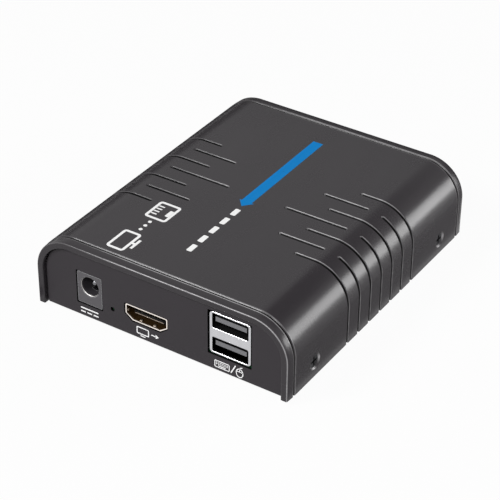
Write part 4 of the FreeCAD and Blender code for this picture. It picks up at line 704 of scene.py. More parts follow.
# Near-black moulding, darker than the black moulding: black plastic with painted shade, for the reset
# plunger and the video port's insulator deep in their openings
SHADE_BLACK_PLASTIC = PlasticFinish("shade_black_moulding", "0c0c0d", 0.45, specular=0.1)
WHITE_INK = PlasticFinish("white_print", "f2f2f2", 0.5, grain_mm=0.004, tone=0.04, specular=0.3)
BLUE_INK = PlasticFinish("blue_print", "0479bf", 0.5, grain_mm=0.004, tone=0.08, specular=0.15)
# Port steel: painted shade darkens it past the mouth of the peripheral ports
PORT_STEEL = MetalFinish("port_steel", "cccccf", 0.28, PaintedShade.INSIDE)
DARK_STEEL = MetalFinish("blackened_steel", "4a4a4d", 0.35)
# Nickel of the jack's pin and spring, darkened as painted shade deep in the jack's bore
PIN_NICKEL = MetalFinish("bore_shaded_nickel", "77777a", 0.2)
LIP_NICKEL = MetalFinish("satin_nickel", "acaaa8", 0.45)
SPRING_STEEL = MetalFinish("spring_steel", "b8ab9c", 0.35)
# Gold plate: painted shade turns it dark brown just past the video port's mouth
GOLD_PLATE = MetalFinish("pale_gold_plate", "fff6ee", 0.26, PaintedShade.INSIDE, deep="5c452a", mouth_mm=-51.55,
                         fade_mm=0.3, metallic=0.8)
GREEN_LAMP = LampFinish("green_lamp", "7fce88", 0.15)
AMBER_LAMP = LampFinish("amber_lamp", "e0a040", 0.15)
RED_LAMP = LampFinish("red_lamp", "c8322c", 0.15)
BOARD_MASK = BoardFinish("board_mask", "14502a", 0.35)

NodeFinishes = dict[Finish, tuple[str, ...]]


def settle(piece: Piece, finish: Finish) -> None:
    """Give a new piece its finish and the body that it rides on.

    Args:
        piece: The piece.
        finish: Its finish.
    """
    piece.data.materials.append(finish.material())
    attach(piece, "receiver")
    LOG.info("made %s with %d faces", piece.name, len(piece.data.polygons))


# Cover


def bell(values: Floats, middle: float, half: float) -> Floats:
    """Return a bell that is 1 at its middle and falls to 1 over e at half its width from there."""
    return np.exp(-((values - middle) / half) ** 2)


def beside(places: tuple[float, ...], guard: float) -> Floats:
    """Return the values a guard's width before and after each place, which keep a bend there sharp."""
    return np.add.outer(np.array(places), np.array([-guard, guard])).ravel()


def distinct(values: Floats, within: float = 0.02) -> Floats:
    """Return values in order, without those that nearly repeat the one before."""
    ordered = np.sort(values)
    return ordered[np.concatenate([[True], np.diff(ordered) > within])]


def framed(middle: Floats, edge: Floats, flip: float = 1.0) -> Floats:
    """Set the same columns before and after a grid, in mirrored order.

    Args:
        middle: The grid.
        edge: The columns from the grid outwards, as one row for all or as many rows as the grid has.
        flip: What the columns before the grid are multiplied by.

    Returns:
        The wider grid.
    """
    columns = np.broadcast_to(edge, (len(middle), edge.shape[-1]))
    return np.hstack([flip * columns[:, ::-1], middle, columns])


class Net(NamedTuple):
    """Samples of the unrolled cover: distances round the arch from the right, and along the box."""

    along: Floats
    across: Floats


class Sheet(NamedTuple):
    """Samples of one side of the cover: place, depth under the plain arch, painted highlight and painted
    shade.
    """

    along: Floats
    across: Floats
    sunk: Floats
    painted_highlight: Floats
    dark: Floats


@dataclass(frozen=True)
class Section:
    """Half of a groove's section: a chamfer from the mouth to a slot, and the slot down to a floor."""

    mouth: float
    slot: float
    floor: float
    chamfer_depth: float
    depth: float
    # Strength of the highlight painted on the chamfer that faces the front
    painted_highlight: float
    ease: float = 0.35
    blend: float = 0.05
    guards: tuple[float, ...] = (0.04, 0.12, 0.4)
    slot_lines: int = 3
    chamfer_lines: int = 6

    def sunk(self, away: Floats) -> Floats:
        """Return the depth at distances from the middle line: the chamfer's fall plus the slot's."""
        chamfer = self.chamfer_depth * self.fall(away, self.mouth, self.slot)
        return chamfer + (self.depth - self.chamfer_depth) * self.fall(away, self.slot, self.floor)

    def fall(self, away: Floats, outer: float, inner: float) -> Floats:
        """Return 0 at an outer distance to 1 at an inner one: a slope eased by part of a sine."""
        share = np.clip((outer - away) / (outer - inner), 0.0, 1.0)
        return share - self.ease * np.sin(2 * math.pi * share) / (2 * math.pi)

    def lines(self) -> Floats:
        """Choose where the section is sampled.

        Returns:
            Distances from the middle line to both sides: floor, slot, chamfer, and guards past the mouth.
        """
        slot = np.linspace(self.floor, self.slot, self.slot_lines)
        chamfer = np.linspace(self.slot, self.mouth, self.chamfer_lines)[1:]
        half = np.concatenate([slot, chamfer, self.mouth + np.array(self.guards)])
        return np.concatenate([-half[::-1], [0.0], half])

    def in_slot(self, away: Floats) -> Floats:
        """Return 1 in the slot, where no light reaches, falling to 0 just outside it."""
        return np.clip((self.slot + self.blend - away) / self.blend, 0.0, 1.0)

    def on_chamfer(self, away: Floats) -> Floats:
        """Return the painted highlight on the chamfer, most along its middle and falling off as a bell to
        its edges.
        """
        middle, half = (self.mouth + self.slot) / 2, (self.mouth - self.slot) / 2
        return self.painted_highlight * bell(away, middle, half / math.sqrt(2.0))


@dataclass(frozen=True)
class Groove:
    """One groove in the cover: a straight run in the unrolled surface, with rounded ends."""

    start: float
    stop: float
    place: float
    section: Section

    def away(self, net: Net) -> Floats:
        """Return the distance of samples from the nearest point of the groove's middle line."""
        past = np.maximum(np.maximum(self.start - net.along, net.along - self.stop), 0.0)
        return np.hypot(net.across - self.place, past)

    def painted_highlight(self, net: Net) -> Floats:
        """Return the painted highlight on the chamfer that faces the front, and 0 elsewhere."""
        return np.where(net.across > self.place, self.section.on_chamfer(self.away(net)), 0.0)


@dataclass
class Cover:
    """The moulded cover, an arch unrolled into a sheet that grooves and screw seats are sunk into."""

    width: float = 90.0
    depth: float = 106.0
    # The top lies 0.025 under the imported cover's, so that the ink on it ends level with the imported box
    height: float = 25.475
    bottom: float = 1.5
    corner_radius: float = 12.6
    corner_lines: int = 25
    wall: float = 2.4
    slope_length: float = 3.2
    slope_drop: float = 0.25
    slope_guard: float = 0.15
    edge_round: float = 0.32
    edge_lines: int = 6
    edge_lip: float = 0.1
    groove_pitch: float = 6.5
    groove_overrun: float = 13.0
    groove_section: Section = Section(
        mouth=0.64, slot=0.46, floor=0.40, chamfer_depth=0.24, depth=0.9, painted_highlight=0.95,
    )
    outer_groove: int = 3
    long_reaches: Pair = (18.7, 22.6)
    dash_setback: float = 13.2
    dash_reaches: Pair = (28.2, 34.2)
    short_reach: float = 7.5
    rim_place: float = 49.45
    rim_section: Section = Section(
        mouth=0.56, slot=0.24, floor=0.17, chamfer_depth=0.30, depth=0.6, painted_highlight=0.2,
    )
    screw_place: float = 38.0
    screw_rise: float = 5.2
    seat_mouth: float = 2.7
    seat_throat: float = 1.62
    seat_box: float = 4.0
    seat_lines: tuple[float, ...] = (0.0, 0.8, 1.9, 2.3, 3.3)
    seat_guard: float = 0.05
    rib_span: Pair = (49.5, 50.7)
    rib_height: float = 2.0
    rib_rise: float = 9.9
    rib_guards: Pair = (0.05, 0.03)
    # Lines that only keep the faces between other samples short
    low_line: float = 0.6
    plain_lines: tuple[float, ...] = (24.0, 29.0, 51.2)
    # Where the cover gets painted highlights, and how strong they are there: 1 is the most
    end_highlight: float = 0.85
    shoulder_highlight: float = 0.42
    shoulder_half: float = 0.1
    land_middle: float = 0.66
    land_half: float = 0.15
    land_lines: int = 2
    corner_shares: tuple[float, ...] = (0.0, 0.25, 0.55, 1.0)
    corner_highlight: tuple[float, ...] = (0.75, 0.4, 0.35, 1.0)
    left_highlight: float = 0.2
    seat_ring: Pair = (2.2, 2.68)
    seat_bells: tuple[Pair, ...] = ((5.0, 30.0), (-105.0, 18.0))
    side_run: float = field(init=False)
    corner_run: float = field(init=False)
    top_run: float = field(init=False)
    length: float = field(init=False)
    grooves: list[Groove] = field(init=False)

    def __post_init__(self) -> None:
        """Work out the arch's runs and lay out the grooves on it."""
        self.side_run = self.height - self.corner_radius
        self.corner_run = self.corner_radius * QUARTER_TURN
        self.top_run = self.width - 2 * self.corner_radius
        self.length = 2 * (self.side_run + self.corner_run) + self.top_run
        self.grooves = self.lay_out_grooves()

    def top_place(self, reach: float) -> float:
        """Return the distance round the arch of a point on the top, by its distance from the side."""
        return self.side_run + self.corner_run + reach - self.corner_radius

    def corner_place(self, reach: float) -> float:
        """Return the distance round the arch of a point on the corner, by its distance from the side."""
        turn = math.acos((self.corner_radius - reach) / self.corner_radius)
        return self.side_run + self.corner_radius * turn

    def lay_out_grooves(self) -> list[Groove]:
        """List the grooves of both halves and the two that run round the ends.

        Returns:
            The grooves: long ones, short ones and dashes on the right half, the same mirrored on the
            left half, and the rims.
        """
        before = -self.groove_overrun
        outer_long, inner_long = (self.top_place(reach) for reach in self.long_reaches)
        outer_dash, middle_dash = (self.top_place(reach) for reach in self.dash_reaches)
        dash_start = self.top_place(self.dash_setback)
        runs = (
            ((-3, 3), before, outer_long),
            ((-1, 1), before, inner_long),
            ((-2, 0, 2), before, self.corner_place(self.short_reach)),
            ((-2, 2), dash_start, outer_dash),
            ((0,), dash_start, middle_dash),
        )
        right = [
            Groove(start, stop, step * self.groove_pitch, self.groove_section)
            for steps, start, stop in runs for step in steps
        ]
        left = [replace(one, start=self.length - one.stop, stop=self.length - one.start) for one in right]
        rims = [
            Groove(before, self.length - before, place, self.rim_section)
            for place in (-self.rim_place, self.rim_place)
        ]
        return right + left + rims

    def arch(self, along: Floats) -> tuple[Floats, Floats, Floats, Floats]:
        """Walk round the arch from the lower edge on the right.

        Args:
            along: Distance walked.

        Returns:
            Place across and up, and the way out: a rise up the side, a quarter turn, a run over the
            top, a quarter turn and a fall, each held between nothing and its full length.
        """
        lengths = (self.side_run, self.corner_run, self.top_run, self.corner_run, self.side_run)
        starts = np.cumsum((0.0,) + lengths)
        walked = [np.clip(along - start, 0.0, length) for start, length in zip(starts, lengths)]
        rise, first_turn, run, second_turn, fall = walked
        angle = (first_turn + second_turn) / self.corner_radius
        x = self.width / 2 - self.corner_radius - run + self.corner_radius * np.cos(angle)
        z = self.bottom + rise + self.corner_radius * np.sin(angle) - fall
        return x, z, np.cos(angle), np.sin(angle)

    def rise(self, net: Net) -> Floats:
        """Return the distance of samples round the arch from the nearer lower edge."""
        return np.minimum(net.along, self.length - net.along)

    def sample_lines(self) -> tuple[Floats, Floats]:
        """Choose where the surface is sampled, close together where it bends.

        Returns:
            Distances round the arch, and distances along the box between the rounded end edges.
        """
        section = self.groove_section.lines()
        rings = np.concatenate([
            self.seat_lines,
            beside((self.seat_mouth,), self.seat_guard),
            (self.seat_throat - self.seat_guard, self.seat_throat, self.seat_mouth, self.seat_box),
        ])
        seat = np.concatenate([-rings, rings])
        ends = np.array([end for one in self.grooves for end in (one.start, one.stop)])
        ends = ends[(ends > 0.0) & (ends < self.length / 2)]
        rise_guard, span_guard = self.rib_guards
        half = np.concatenate([
            (0.0, self.low_line, self.length / 2),
            beside((self.rib_rise,), rise_guard),
            self.screw_rise + seat,
            np.linspace(self.side_run, self.side_run + self.corner_run, self.corner_lines),
            np.add.outer(ends, section).ravel(),
        ])
        slope_start, land = self.depth / 2 - self.slope_length, self.rim_place + self.land_middle
        end_half = np.concatenate([
            self.rim_place + self.rim_section.lines(),
            land + self.land_half * np.arange(-self.land_lines, self.land_lines + 1),
            self.screw_place + seat,
            beside((slope_start,), self.slope_guard),
            beside(self.rib_span, span_guard),
            (slope_start, self.depth / 2 - self.edge_round, *self.plain_lines),
        ])
        places = np.arange(-self.outer_groove, self.outer_groove + 1) * self.groove_pitch
        middle = np.add.outer(places, section).ravel()
        along = distinct(np.concatenate([half, self.length - half]))
        return along, distinct(np.concatenate([middle, end_half, -end_half]))

    def bend_round_seats(self, net: Net) -> Net:
        """Bend the square net of samples into rings round each screw seat.

        Inside the box round a seat, the square of samples at a distance from its middle is drawn to
        the circle of that radius; past the seat's mouth it eases back to the square.

        Args:
            net: The square net.

        Returns:
            The bent net.
        """
        along, across = net
        for rise in (self.screw_rise, self.length - self.screw_rise):
            for place in (-self.screw_place, self.screw_place):
                right, up = along - rise, across - place
                square = np.maximum(np.abs(right), np.abs(up))
                circle = np.maximum(np.hypot(right, up), TINY)
                ease = np.clip((self.seat_box - square) / (self.seat_box - self.seat_mouth), 0.0, 1.0)
                scale = np.where(square < self.seat_box, 1.0 + ease * (square / circle - 1.0), 1.0)
                along, across = rise + right * scale, place + up * scale
        return Net(along, across)

    def sunk(self, net: Net) -> Floats:
        """Give the depth of the outside under the plain arch.

        Args:
            net: The samples.

        Returns:
            The deepest of the grooves and the conical screw seats, plus the slope of the ends.
        """
        seats = np.hypot(self.rise(net) - self.screw_rise, np.abs(net.across) - self.screw_place)
        layers = [one.section.sunk(one.away(net)) for one in self.grooves]
        layers.append(np.clip(self.seat_mouth - seats, 0.0, self.seat_mouth - self.seat_throat))
        past_level = np.abs(net.across) - self.depth / 2 + self.slope_length
        slope = np.clip(past_level / self.slope_length, 0.0, 1.0)
        return np.maximum.reduce(layers) + self.slope_drop * slope

    def painted_highlight(self, net: Net) -> Floats:
        """Mark the places that get a painted highlight.

        Args:
            net: The samples.

        Returns:
            The most of four shares: bells over a rim groove's shoulders and, on the top, over the land
            beside it, the chamfers that face the front, and the painted highlights of the screw seats.
        """
        past_rim = np.abs(net.across) - self.rim_place
        on_top = np.clip((self.rise(net) - self.side_run) / self.corner_run, 0.0, 1.0)
        shoulders = bell(np.abs(past_rim), self.rim_section.mouth, self.shoulder_half)
        land = bell(past_rim, self.land_middle, self.land_half) * on_top
        chamfers = np.maximum.reduce([one.painted_highlight(net) for one in self.grooves])
        chamfers = chamfers * np.interp(on_top, self.corner_shares, self.corner_highlight)
        return np.maximum.reduce([self.shoulder_highlight * shoulders, land, chamfers, self.seat_highlights(net)])

    def seat_highlights(self, net: Net) -> Floats:
        """Paint highlights on the sloping wall of a screw seat.

        Args:
            net: The samples.

        Returns:
            Bells of the angle round the screw, on a ring just inside the seat's mouth.
        """
        rise = self.rise(net) - self.screw_rise
        ahead = net.across - np.sign(net.across) * self.screw_place
        angle, past = np.degrees(np.arctan2(rise, ahead)), np.hypot(rise, ahead)
        bells = [bell(angle, middle, half) for middle, half in self.seat_bells]
        low, high = self.seat_ring
        return np.where((past > low) & (past < high), np.maximum.reduce(bells), 0.0)

    def outside(self) -> Sheet:
        """Work out the outside, from the lip of one end to that of the other.

        Returns:
            The samples between the ends, framed by the end edges: quarter circles, whose reach and drop
            follow the sine and the cosine of the turn, and a lip behind each.
        """
        along_line, across_line = self.sample_lines()
        net = self.bend_round_seats(Net(*np.meshgrid(along_line, across_line, indexing="ij")))
        turn = np.linspace(0.0, QUARTER_TURN, self.edge_lines)[1:]
        past_edge = self.slope_drop + self.edge_round
        reach = np.append(self.depth / 2 - self.edge_round * (1.0 - np.sin(turn)), self.depth / 2)
        drop = np.append(past_edge - self.edge_round * np.cos(turn), past_edge + self.edge_lip)
        # Painted highlight along the rounded end edges, strongest halfway round them
        end_highlight = np.append(self.end_highlight * np.sin(2 * turn), 0.0)
        along = framed(net.along, np.repeat(along_line[:, None], len(reach), axis=1))
        before_left_corner = (self.length - self.side_run - self.corner_run - along) / self.corner_run
        # Painted shade: marks the slots of the grooves, which the cover's finish paints near black
        slots = [one.section.in_slot(one.away(net)) for one in self.grooves]
        return Sheet(
            along=along,
            across=framed(net.across, reach, flip=-1.0),
            sunk=framed(self.sunk(net), drop),
            # Painted highlights, cut to a fifth over the left shoulder and down the left side
            painted_highlight=framed(self.painted_highlight(net), end_highlight) * np.clip(before_left_corner, self.left_highlight, 1.0),
            dark=framed(np.maximum.reduce(slots), np.zeros(len(reach))),
        )

    def inside(self, outside: Sheet) -> Sheet:
        """Work out the inside under the samples of the outside.

        Args:
            outside: The outside.

        Returns:
            The wall's thickness under the arch, with two ribs, less a quarter circle at each end edge.
        """
        along, across = np.broadcast_to(outside.along[:, :1], outside.along.shape), outside.across
        reach = np.abs(across)
        past = np.clip((reach - self.depth / 2) / self.edge_round + 1.0, 0.0, 1.0)
        low, high = self.rib_span
        on_rib = (reach > low) & (reach < high) & (self.rise(Net(along, across)) > self.rib_rise)
        sunk = self.wall + self.rib_height * on_rib - self.edge_round * (1.0 - np.sqrt(1.0 - past ** 2))
        return Sheet(along, across, sunk, painted_highlight=np.zeros(along.shape), dark=np.zeros(along.shape))

    def shell(self) -> tuple[Shape, Sheet]:
        """Close the outside and the inside into one shell.

        A loop of samples runs along the outside from end to end and back along the inside; the loop
        is carried round the arch, each sample lying its depth under the arch along the way out. The
        two lower edges are closed by strips between outside and inside.

        Returns:
            Points and faces, and the samples of the loop.
        """
        outside = self.outside()
        sides = zip(outside, self.inside(outside))
        loop = Sheet(*(np.hstack([outer, inner[:, ::-1]]) for outer, inner in sides))
        x, z, out_x, out_z = self.arch(loop.along)
        points = np.stack([x - out_x * loop.sunk, loop.across, z - out_z * loop.sunk], axis=-1)
        rows, columns = loop.along.shape
        strip = np.arange(columns // 2 - 1)
        lower = np.stack([strip, columns - 1 - strip, columns - 2 - strip, strip + 1], axis=1)
        upper = lower[:, ::-1] + (rows - 1) * columns
        faces = np.vstack([grid_quads(rows, columns, columns_close=True), lower, upper])
        return (points, faces[:, ::-1]), loop

    def build(self) -> None:
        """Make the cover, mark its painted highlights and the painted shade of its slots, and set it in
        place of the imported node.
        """
        (points, faces), loop = self.shell()
        piece = make_piece("cover_shell", points, faces, sharp_angle=50.0)
        # Marks of the painted highlight and of the slots' painted shade, carried by the points
        for name, share in ((EdgeSource.ATTRIBUTE.value, loop.painted_highlight), (PaintedShade.SLOTS.value, loop.dark)):
            marks = piece.data.attributes.new(name, "FLOAT", "POINT")
            marks.data.foreach_set("value", share.astype(np.float32).ravel())
        settle(piece, COVER_PLASTIC)
        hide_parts("top_cover")


# Print


@dataclass(frozen=True)
class Mark:
    """A printed mark: a line along a path, or a filled outline if it has no width; one or a row of them."""

    path: Floats
    width: float | None = None
    closed: bool = False
    count: int = 1
    step: float = 0.0

    def shapes(self, thickness: float) -> list[Shape]:
        """Work out the mark's shapes.

        Args:
            thickness: Height of the ink over the plane.

        Returns:
            Points on the plane and faces of each mark in the row.
        """
        row = [self.path + np.array([self.step * i, 0.0]) for i in range(self.count)]
        if self.width is None:
            return [patch(path, thickness) for path in row]
        return [stroke(path, self.width, thickness, self.closed) for path in row]


def line(*points: Pair, width: float, count: int = 1, step: float = 0.0) -> Mark:
    """Return an open line through points, or a row of such lines."""
    return Mark(np.array(points), width, count=count, step=step)


def bar(low: Pair, high: Pair, radius: float, count: int = 1, step: float = 0.0) -> Mark:
    """Return a filled bar with round corners, or a row of such bars."""
    return Mark(rounded_rectangle(low, high, radius), count=count, step=step)


def border(low: Pair, high: Pair, radius: float, width: float) -> Mark:
    """Return a line round a rectangle with round corners."""
    return Mark(rounded_rectangle(low, high, radius), width, closed=True)


def oval(middle: Pair, radii: Pair, width: float, steps: int = 28) -> Mark:
    """Return a line round an ellipse."""
    return Mark(np.array(middle) + np.array(radii) * even_circle(steps), width, closed=True)


@dataclass(frozen=True)
class Print:
    """Thin ink on a flat face, made of marks as one piece."""

    name: str
    finish: Finish
    plane: Plane
    marks: tuple[Mark, ...]
    thickness: float = 0.03

    def build(self) -> None:
        """Make one piece of all the marks."""
        points, faces = joined([shape for mark in self.marks for shape in mark.shapes(self.thickness)])
        settle(make_piece(self.name, self.plane.lay(points), faces), self.finish)


# The ink starts 0.005 inside the cover's top and the panel's face
TOP_FACE = Plane((0.0, 0.0, 26.97), across=(0.0, 1.0, 0.0), along=(-1.0, 0.0, 0.0))
PANEL_FACE = Plane((0.0, -51.795, 0.0), across=(1.0, 0.0, 0.0), along=(0.0, 0.0, 1.0))

# Plain signs on the top: a display on its stand, a run of dots, a network socket, and dashes
TOP_SIGNS = Print("top_signs_white", WHITE_INK, TOP_FACE, (
    border((-46.6, 17.2), (-37.2, 22.6), radius=0.7, width=0.9),
    line((-41.9, 16.75), (-41.9, 16.05), width=0.9),
    line((-44.4, 15.6), (-39.4, 15.6), width=0.9),
    bar((-35.0, 18.6), (-33.8, 19.8), radius=0.55, count=3, step=2.4),
    border((-27.2, 15.6), (-18.6, 22.6), radius=0.7, width=0.9),
    line((-25.1, 20.0), (-25.1, 22.0), width=0.55, count=4, step=1.47),
    bar((-24.6, 16.0), (-21.2, 17.4), radius=0.2),
    bar((-36.0, -0.2), (-32.2, 1.6), radius=0.4, count=5, step=5.8),
))

# A stripe whose end points to the front
TOP_STRIPE = Print("top_stripe_blue", BLUE_INK, TOP_FACE, (
    bar((-3.9, -0.7), (38.4, 2.9), radius=0.1),
    Mark(np.array([(-6.9, 1.1), (-3.9, -1.5), (-3.9, 3.7)])),
))

# Plain signs on the panel: direct current, a display with a mark that points out of it, a keyboard, a
# mouse with the start of its lead, and a stroke between those two
PANEL_SIGNS = Print("panel_signs_white", WHITE_INK, PANEL_FACE, (
    line((-29.6, 4.6), (-23.0, 4.6), width=0.45),
    line((-29.6, 3.3), (-27.8, 3.3), width=0.45, count=3, step=2.4),
    border((-8.6, 3.6), (-4.4, 5.9), radius=0.3, width=0.35),
    line((-7.4, 2.9), (-5.6, 2.9), width=0.35),
    line((-3.4, 4.75), (-1.6, 4.75), width=0.35),
    Mark(np.array([(-1.8, 4.0), (-0.7, 4.75), (-1.8, 5.5)])),
    border((19.3, 3.0), (24.3, 5.3), radius=0.3, width=0.28),
    bar((19.75, 4.55), (20.2, 4.87), radius=0.08, count=6, step=0.72),
    bar((19.75, 4.0), (20.2, 4.32), radius=0.08, count=6, step=0.72),
    bar((20.5, 3.4), (23.1, 3.7), radius=0.08),
    oval((27.9, 3.95), (1.15, 1.5), width=0.3),
    line((26.8, 4.4), (29.0, 4.4), width=0.25),
    line((27.9, 4.4), (27.9, 5.4), width=0.25),
    line((27.9, 5.4), (28.2, 6.0), (28.9, 6.2), width=0.25),
    line((24.9, 2.9), (26.5, 6.1), width=0.35),
))


# Sub-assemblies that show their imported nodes


@dataclass
class Assembly:
    """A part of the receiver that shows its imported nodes: the nodes that each finish covers.

    Nodes that no part names keep the plain materials of the pack: the feet, the contacts of the ports,
    the network jack's shield, the reset switch's frame, and what holds the board or stands on it.
    """

    nodes: NodeFinishes

    def build(self) -> None:
        """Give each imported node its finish."""
        for finish, names in self.nodes.items():
            for name in names:
                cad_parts[name].material_slots[0].material = finish.material()
                LOG.info("dressed %s in %s", name, finish.name)


@dataclass
class Housing(Assembly):
    """The tray and the screws that hold the cover."""

    nodes: NodeFinishes = field(default_factory=lambda: {
        PANEL_PAINT: ("base_tray",),
        DARK_STEEL: ("cover_screws",),
    })


@dataclass
class FrontPorts(Assembly):
    """Power jack, reset switch, video port and stacked peripheral ports."""

    nodes: NodeFinishes = field(default_factory=lambda: {
        JACK_PLASTIC: ("power_jack_body",),
        PIN_NICKEL: ("power_jack_pin", "power_jack_spring"),
        BLACK_PLASTIC: ("reset_switch_housing",),
        PORT_STEEL: ("peripheral_port_shell",),
        SHADE_BLACK_PLASTIC: ("reset_plunger", "video_port_insulator"),
        GOLD_PLATE: ("video_port_shell",),
        TONGUE_LIT_AND_SHADED: ("peripheral_port_insulator",),
    })
    jack_middle: Pair = (-26.0, 13.1)
    port_face: float = -51.6
    bore_radius: float = 3.2
    chamfer: float = 0.35
    lip_width: float = 0.12
    lip_thickness: float = 0.08
    lip_steps: int = 96
    video_middle: float = -5.2
    video_floor: float = 7.62
    video_half_width: float = 7.23
    spring_offset: float = 2.45
    spring_height: float = 9.95
    spring_size: Triple = (0.8, 1.3, 0.1)
    spring_start: float = -51.1
    spring_lift: float = 0.25
    spring_steps: int = 17
    tongue_highlight_place: Pair = (-50.0, 9.2)
    tongue_highlight_size: Triple = (10.2, 0.22, 0.06)

    def jack_lip(self) -> None:
        """Make the bright lining of the chamfer round the jack's mouth.

        The section is a thin strip that slopes inwards at 45 degrees, carried round a circle: each of
        its points lies at its radius times the cosine and the sine of the angle, and at its depth.
        """
        inner, outer = self.bore_radius, self.bore_radius + self.lip_width
        front = self.port_face + self.chamfer - self.lip_width - self.lip_thickness
        back = front + self.lip_width
        radius = np.array([outer, inner, inner, outer])
        depth = np.array([front, back, back + self.lip_thickness, front + self.lip_thickness])
        right, up = even_circle(self.lip_steps).T[:, :, None]
        x, z = self.jack_middle[0] + radius * right, self.jack_middle[1] + radius * up
        points = np.stack([x, np.broadcast_to(depth, x.shape), z], axis=-1)
        faces = grid_quads(self.lip_steps, len(radius), rows_close=True, columns_close=True)
        lip = make_piece("jack_lip", points, faces[:, ::-1])
        settle(lip, LIP_NICKEL)

    def video_springs(self) -> None:
        """Make the spring leaves on the floor and the side walls of the video port.

        Each is a flat strip carried along half a wave: its rise from the wall is the lift times the
        sine of the share of the length walked.
        """
        width, length, thickness = self.spring_size
        share = np.linspace(0.0, 1.0, self.spring_steps)
        wave = self.spring_lift * np.sin(math.pi * share)
        path = np.column_stack([self.spring_start + length * share, wave])
        flat, faces = stroke(path, thickness, width, closed=False)
        along, rise, across = flat[..., 0], flat[..., 1], flat[..., 2] - width / 2
        shapes = []
        for side in (-1.0, 1.0):
            floor_x = self.video_middle + side * self.spring_offset + across
            wall_x = self.video_middle + side * (self.video_half_width - rise)
            wall_z = self.spring_height + side * across
            shapes.append((np.stack([floor_x, along, self.video_floor + rise], axis=-1), faces))
            shapes.append((np.stack([wall_x, along, wall_z], axis=-1), faces))
        springs = make_piece("video_springs", *joined(shapes))
        settle(springs, SPRING_STEEL)

    def video_tongue_highlight(self) -> None:
        """Make a pale strip along the lower edge of the video port's tongue: a painted highlight of that
        edge.
        """
        length, width, thickness = self.tongue_highlight_size
        plane = replace(PANEL_FACE, origin=(self.video_middle, *self.tongue_highlight_place))
        edge = line((-length / 2, 0.0), (length / 2, 0.0), width=width)
        Print("video_tongue_edge_highlight", TONGUE_HIGHLIGHT_PLASTIC, plane, (edge,), thickness).build()

    def build(self) -> None:
        """Make the thin pieces of the front ports and dress their nodes."""
        self.jack_lip()
        self.video_springs()
        self.video_tongue_highlight()
        super().build()


@dataclass
class RearPorts(Assembly):
    """Network jack and status lamps."""

    nodes: NodeFinishes = field(default_factory=lambda: {
        BLACK_PLASTIC: ("network_jack_housing", "power_lamp_holder", "link_lamp_holder"),
        GREEN_LAMP: ("network_lamp_left", "link_lamp"),
        AMBER_LAMP: ("network_lamp_right",),
        RED_LAMP: ("power_lamp",),
    })


@dataclass
class Board(Assembly):
    """The circuit board."""

    nodes: NodeFinishes = field(default_factory=lambda: {BOARD_MASK: ("main_board",)})


# Stage


def direction(azimuth: float, elevation: float) -> Vector:
    """Return the way from the object to a viewer, with azimuth 0 in front and 90 on the right."""
    turn, rise = math.radians(azimuth), math.radians(elevation)
    return Vector((math.sin(turn) * math.cos(rise), -math.cos(turn) * math.cos(rise), math.sin(rise)))


@dataclass(frozen=True)
class Softbox:
    """A rectangular lamp that faces the object, with its distance and size in metres."""

    name: str
    azimuth: float
    elevation: float
    distance: float
    size: Pair
    radiance: float

    def build(self, aim: Vector) -> None:
        """Hang the lamp.

        Args:
            aim: The point that it faces, in metres.
        """
        lamp = bpy.data.lights.new(self.name, "AREA")
        lamp.shape = "RECTANGLE"
        lamp.size, lamp.size_y = self.size
        lamp.energy = self.radiance * math.pi * self.size[0] * self.size[1]
        hung = bpy.data.objects.new(self.name, lamp)
        back = direction(self.azimuth, self.elevation)
        hung.location = aim + back * self.distance
        hung.rotation_euler = back.to_track_quat("Z", "Y").to_euler()
        bpy.context.scene.collection.objects.link(hung)


@dataclass(frozen=True)
class Card:
    """A dark card beside the object that only its gloss mirrors, given by its middle and its sides."""

    name: str
    middle: Triple
    across: Triple
    along: Triple
    shade: float = 0.02
    gloss: float = 0.5

    def build(self) -> None:
        """Set up the card, hidden from the camera and from soft light."""
        card = make_sheet(self.name, self.middle, self.across, self.along)
        material = bpy.data.materials.new(self.name)
        material.use_nodes = True
        sockets = material.node_tree.nodes["Principled BSDF"].inputs
        sockets["Base Color"].default_value = grey(self.shade)
        sockets["Specular IOR Level"].default_value = self.gloss
        card.data.materials.append(material)
        card.visible_camera = False
        card.visible_diffuse = False
        card.visible_shadow = False


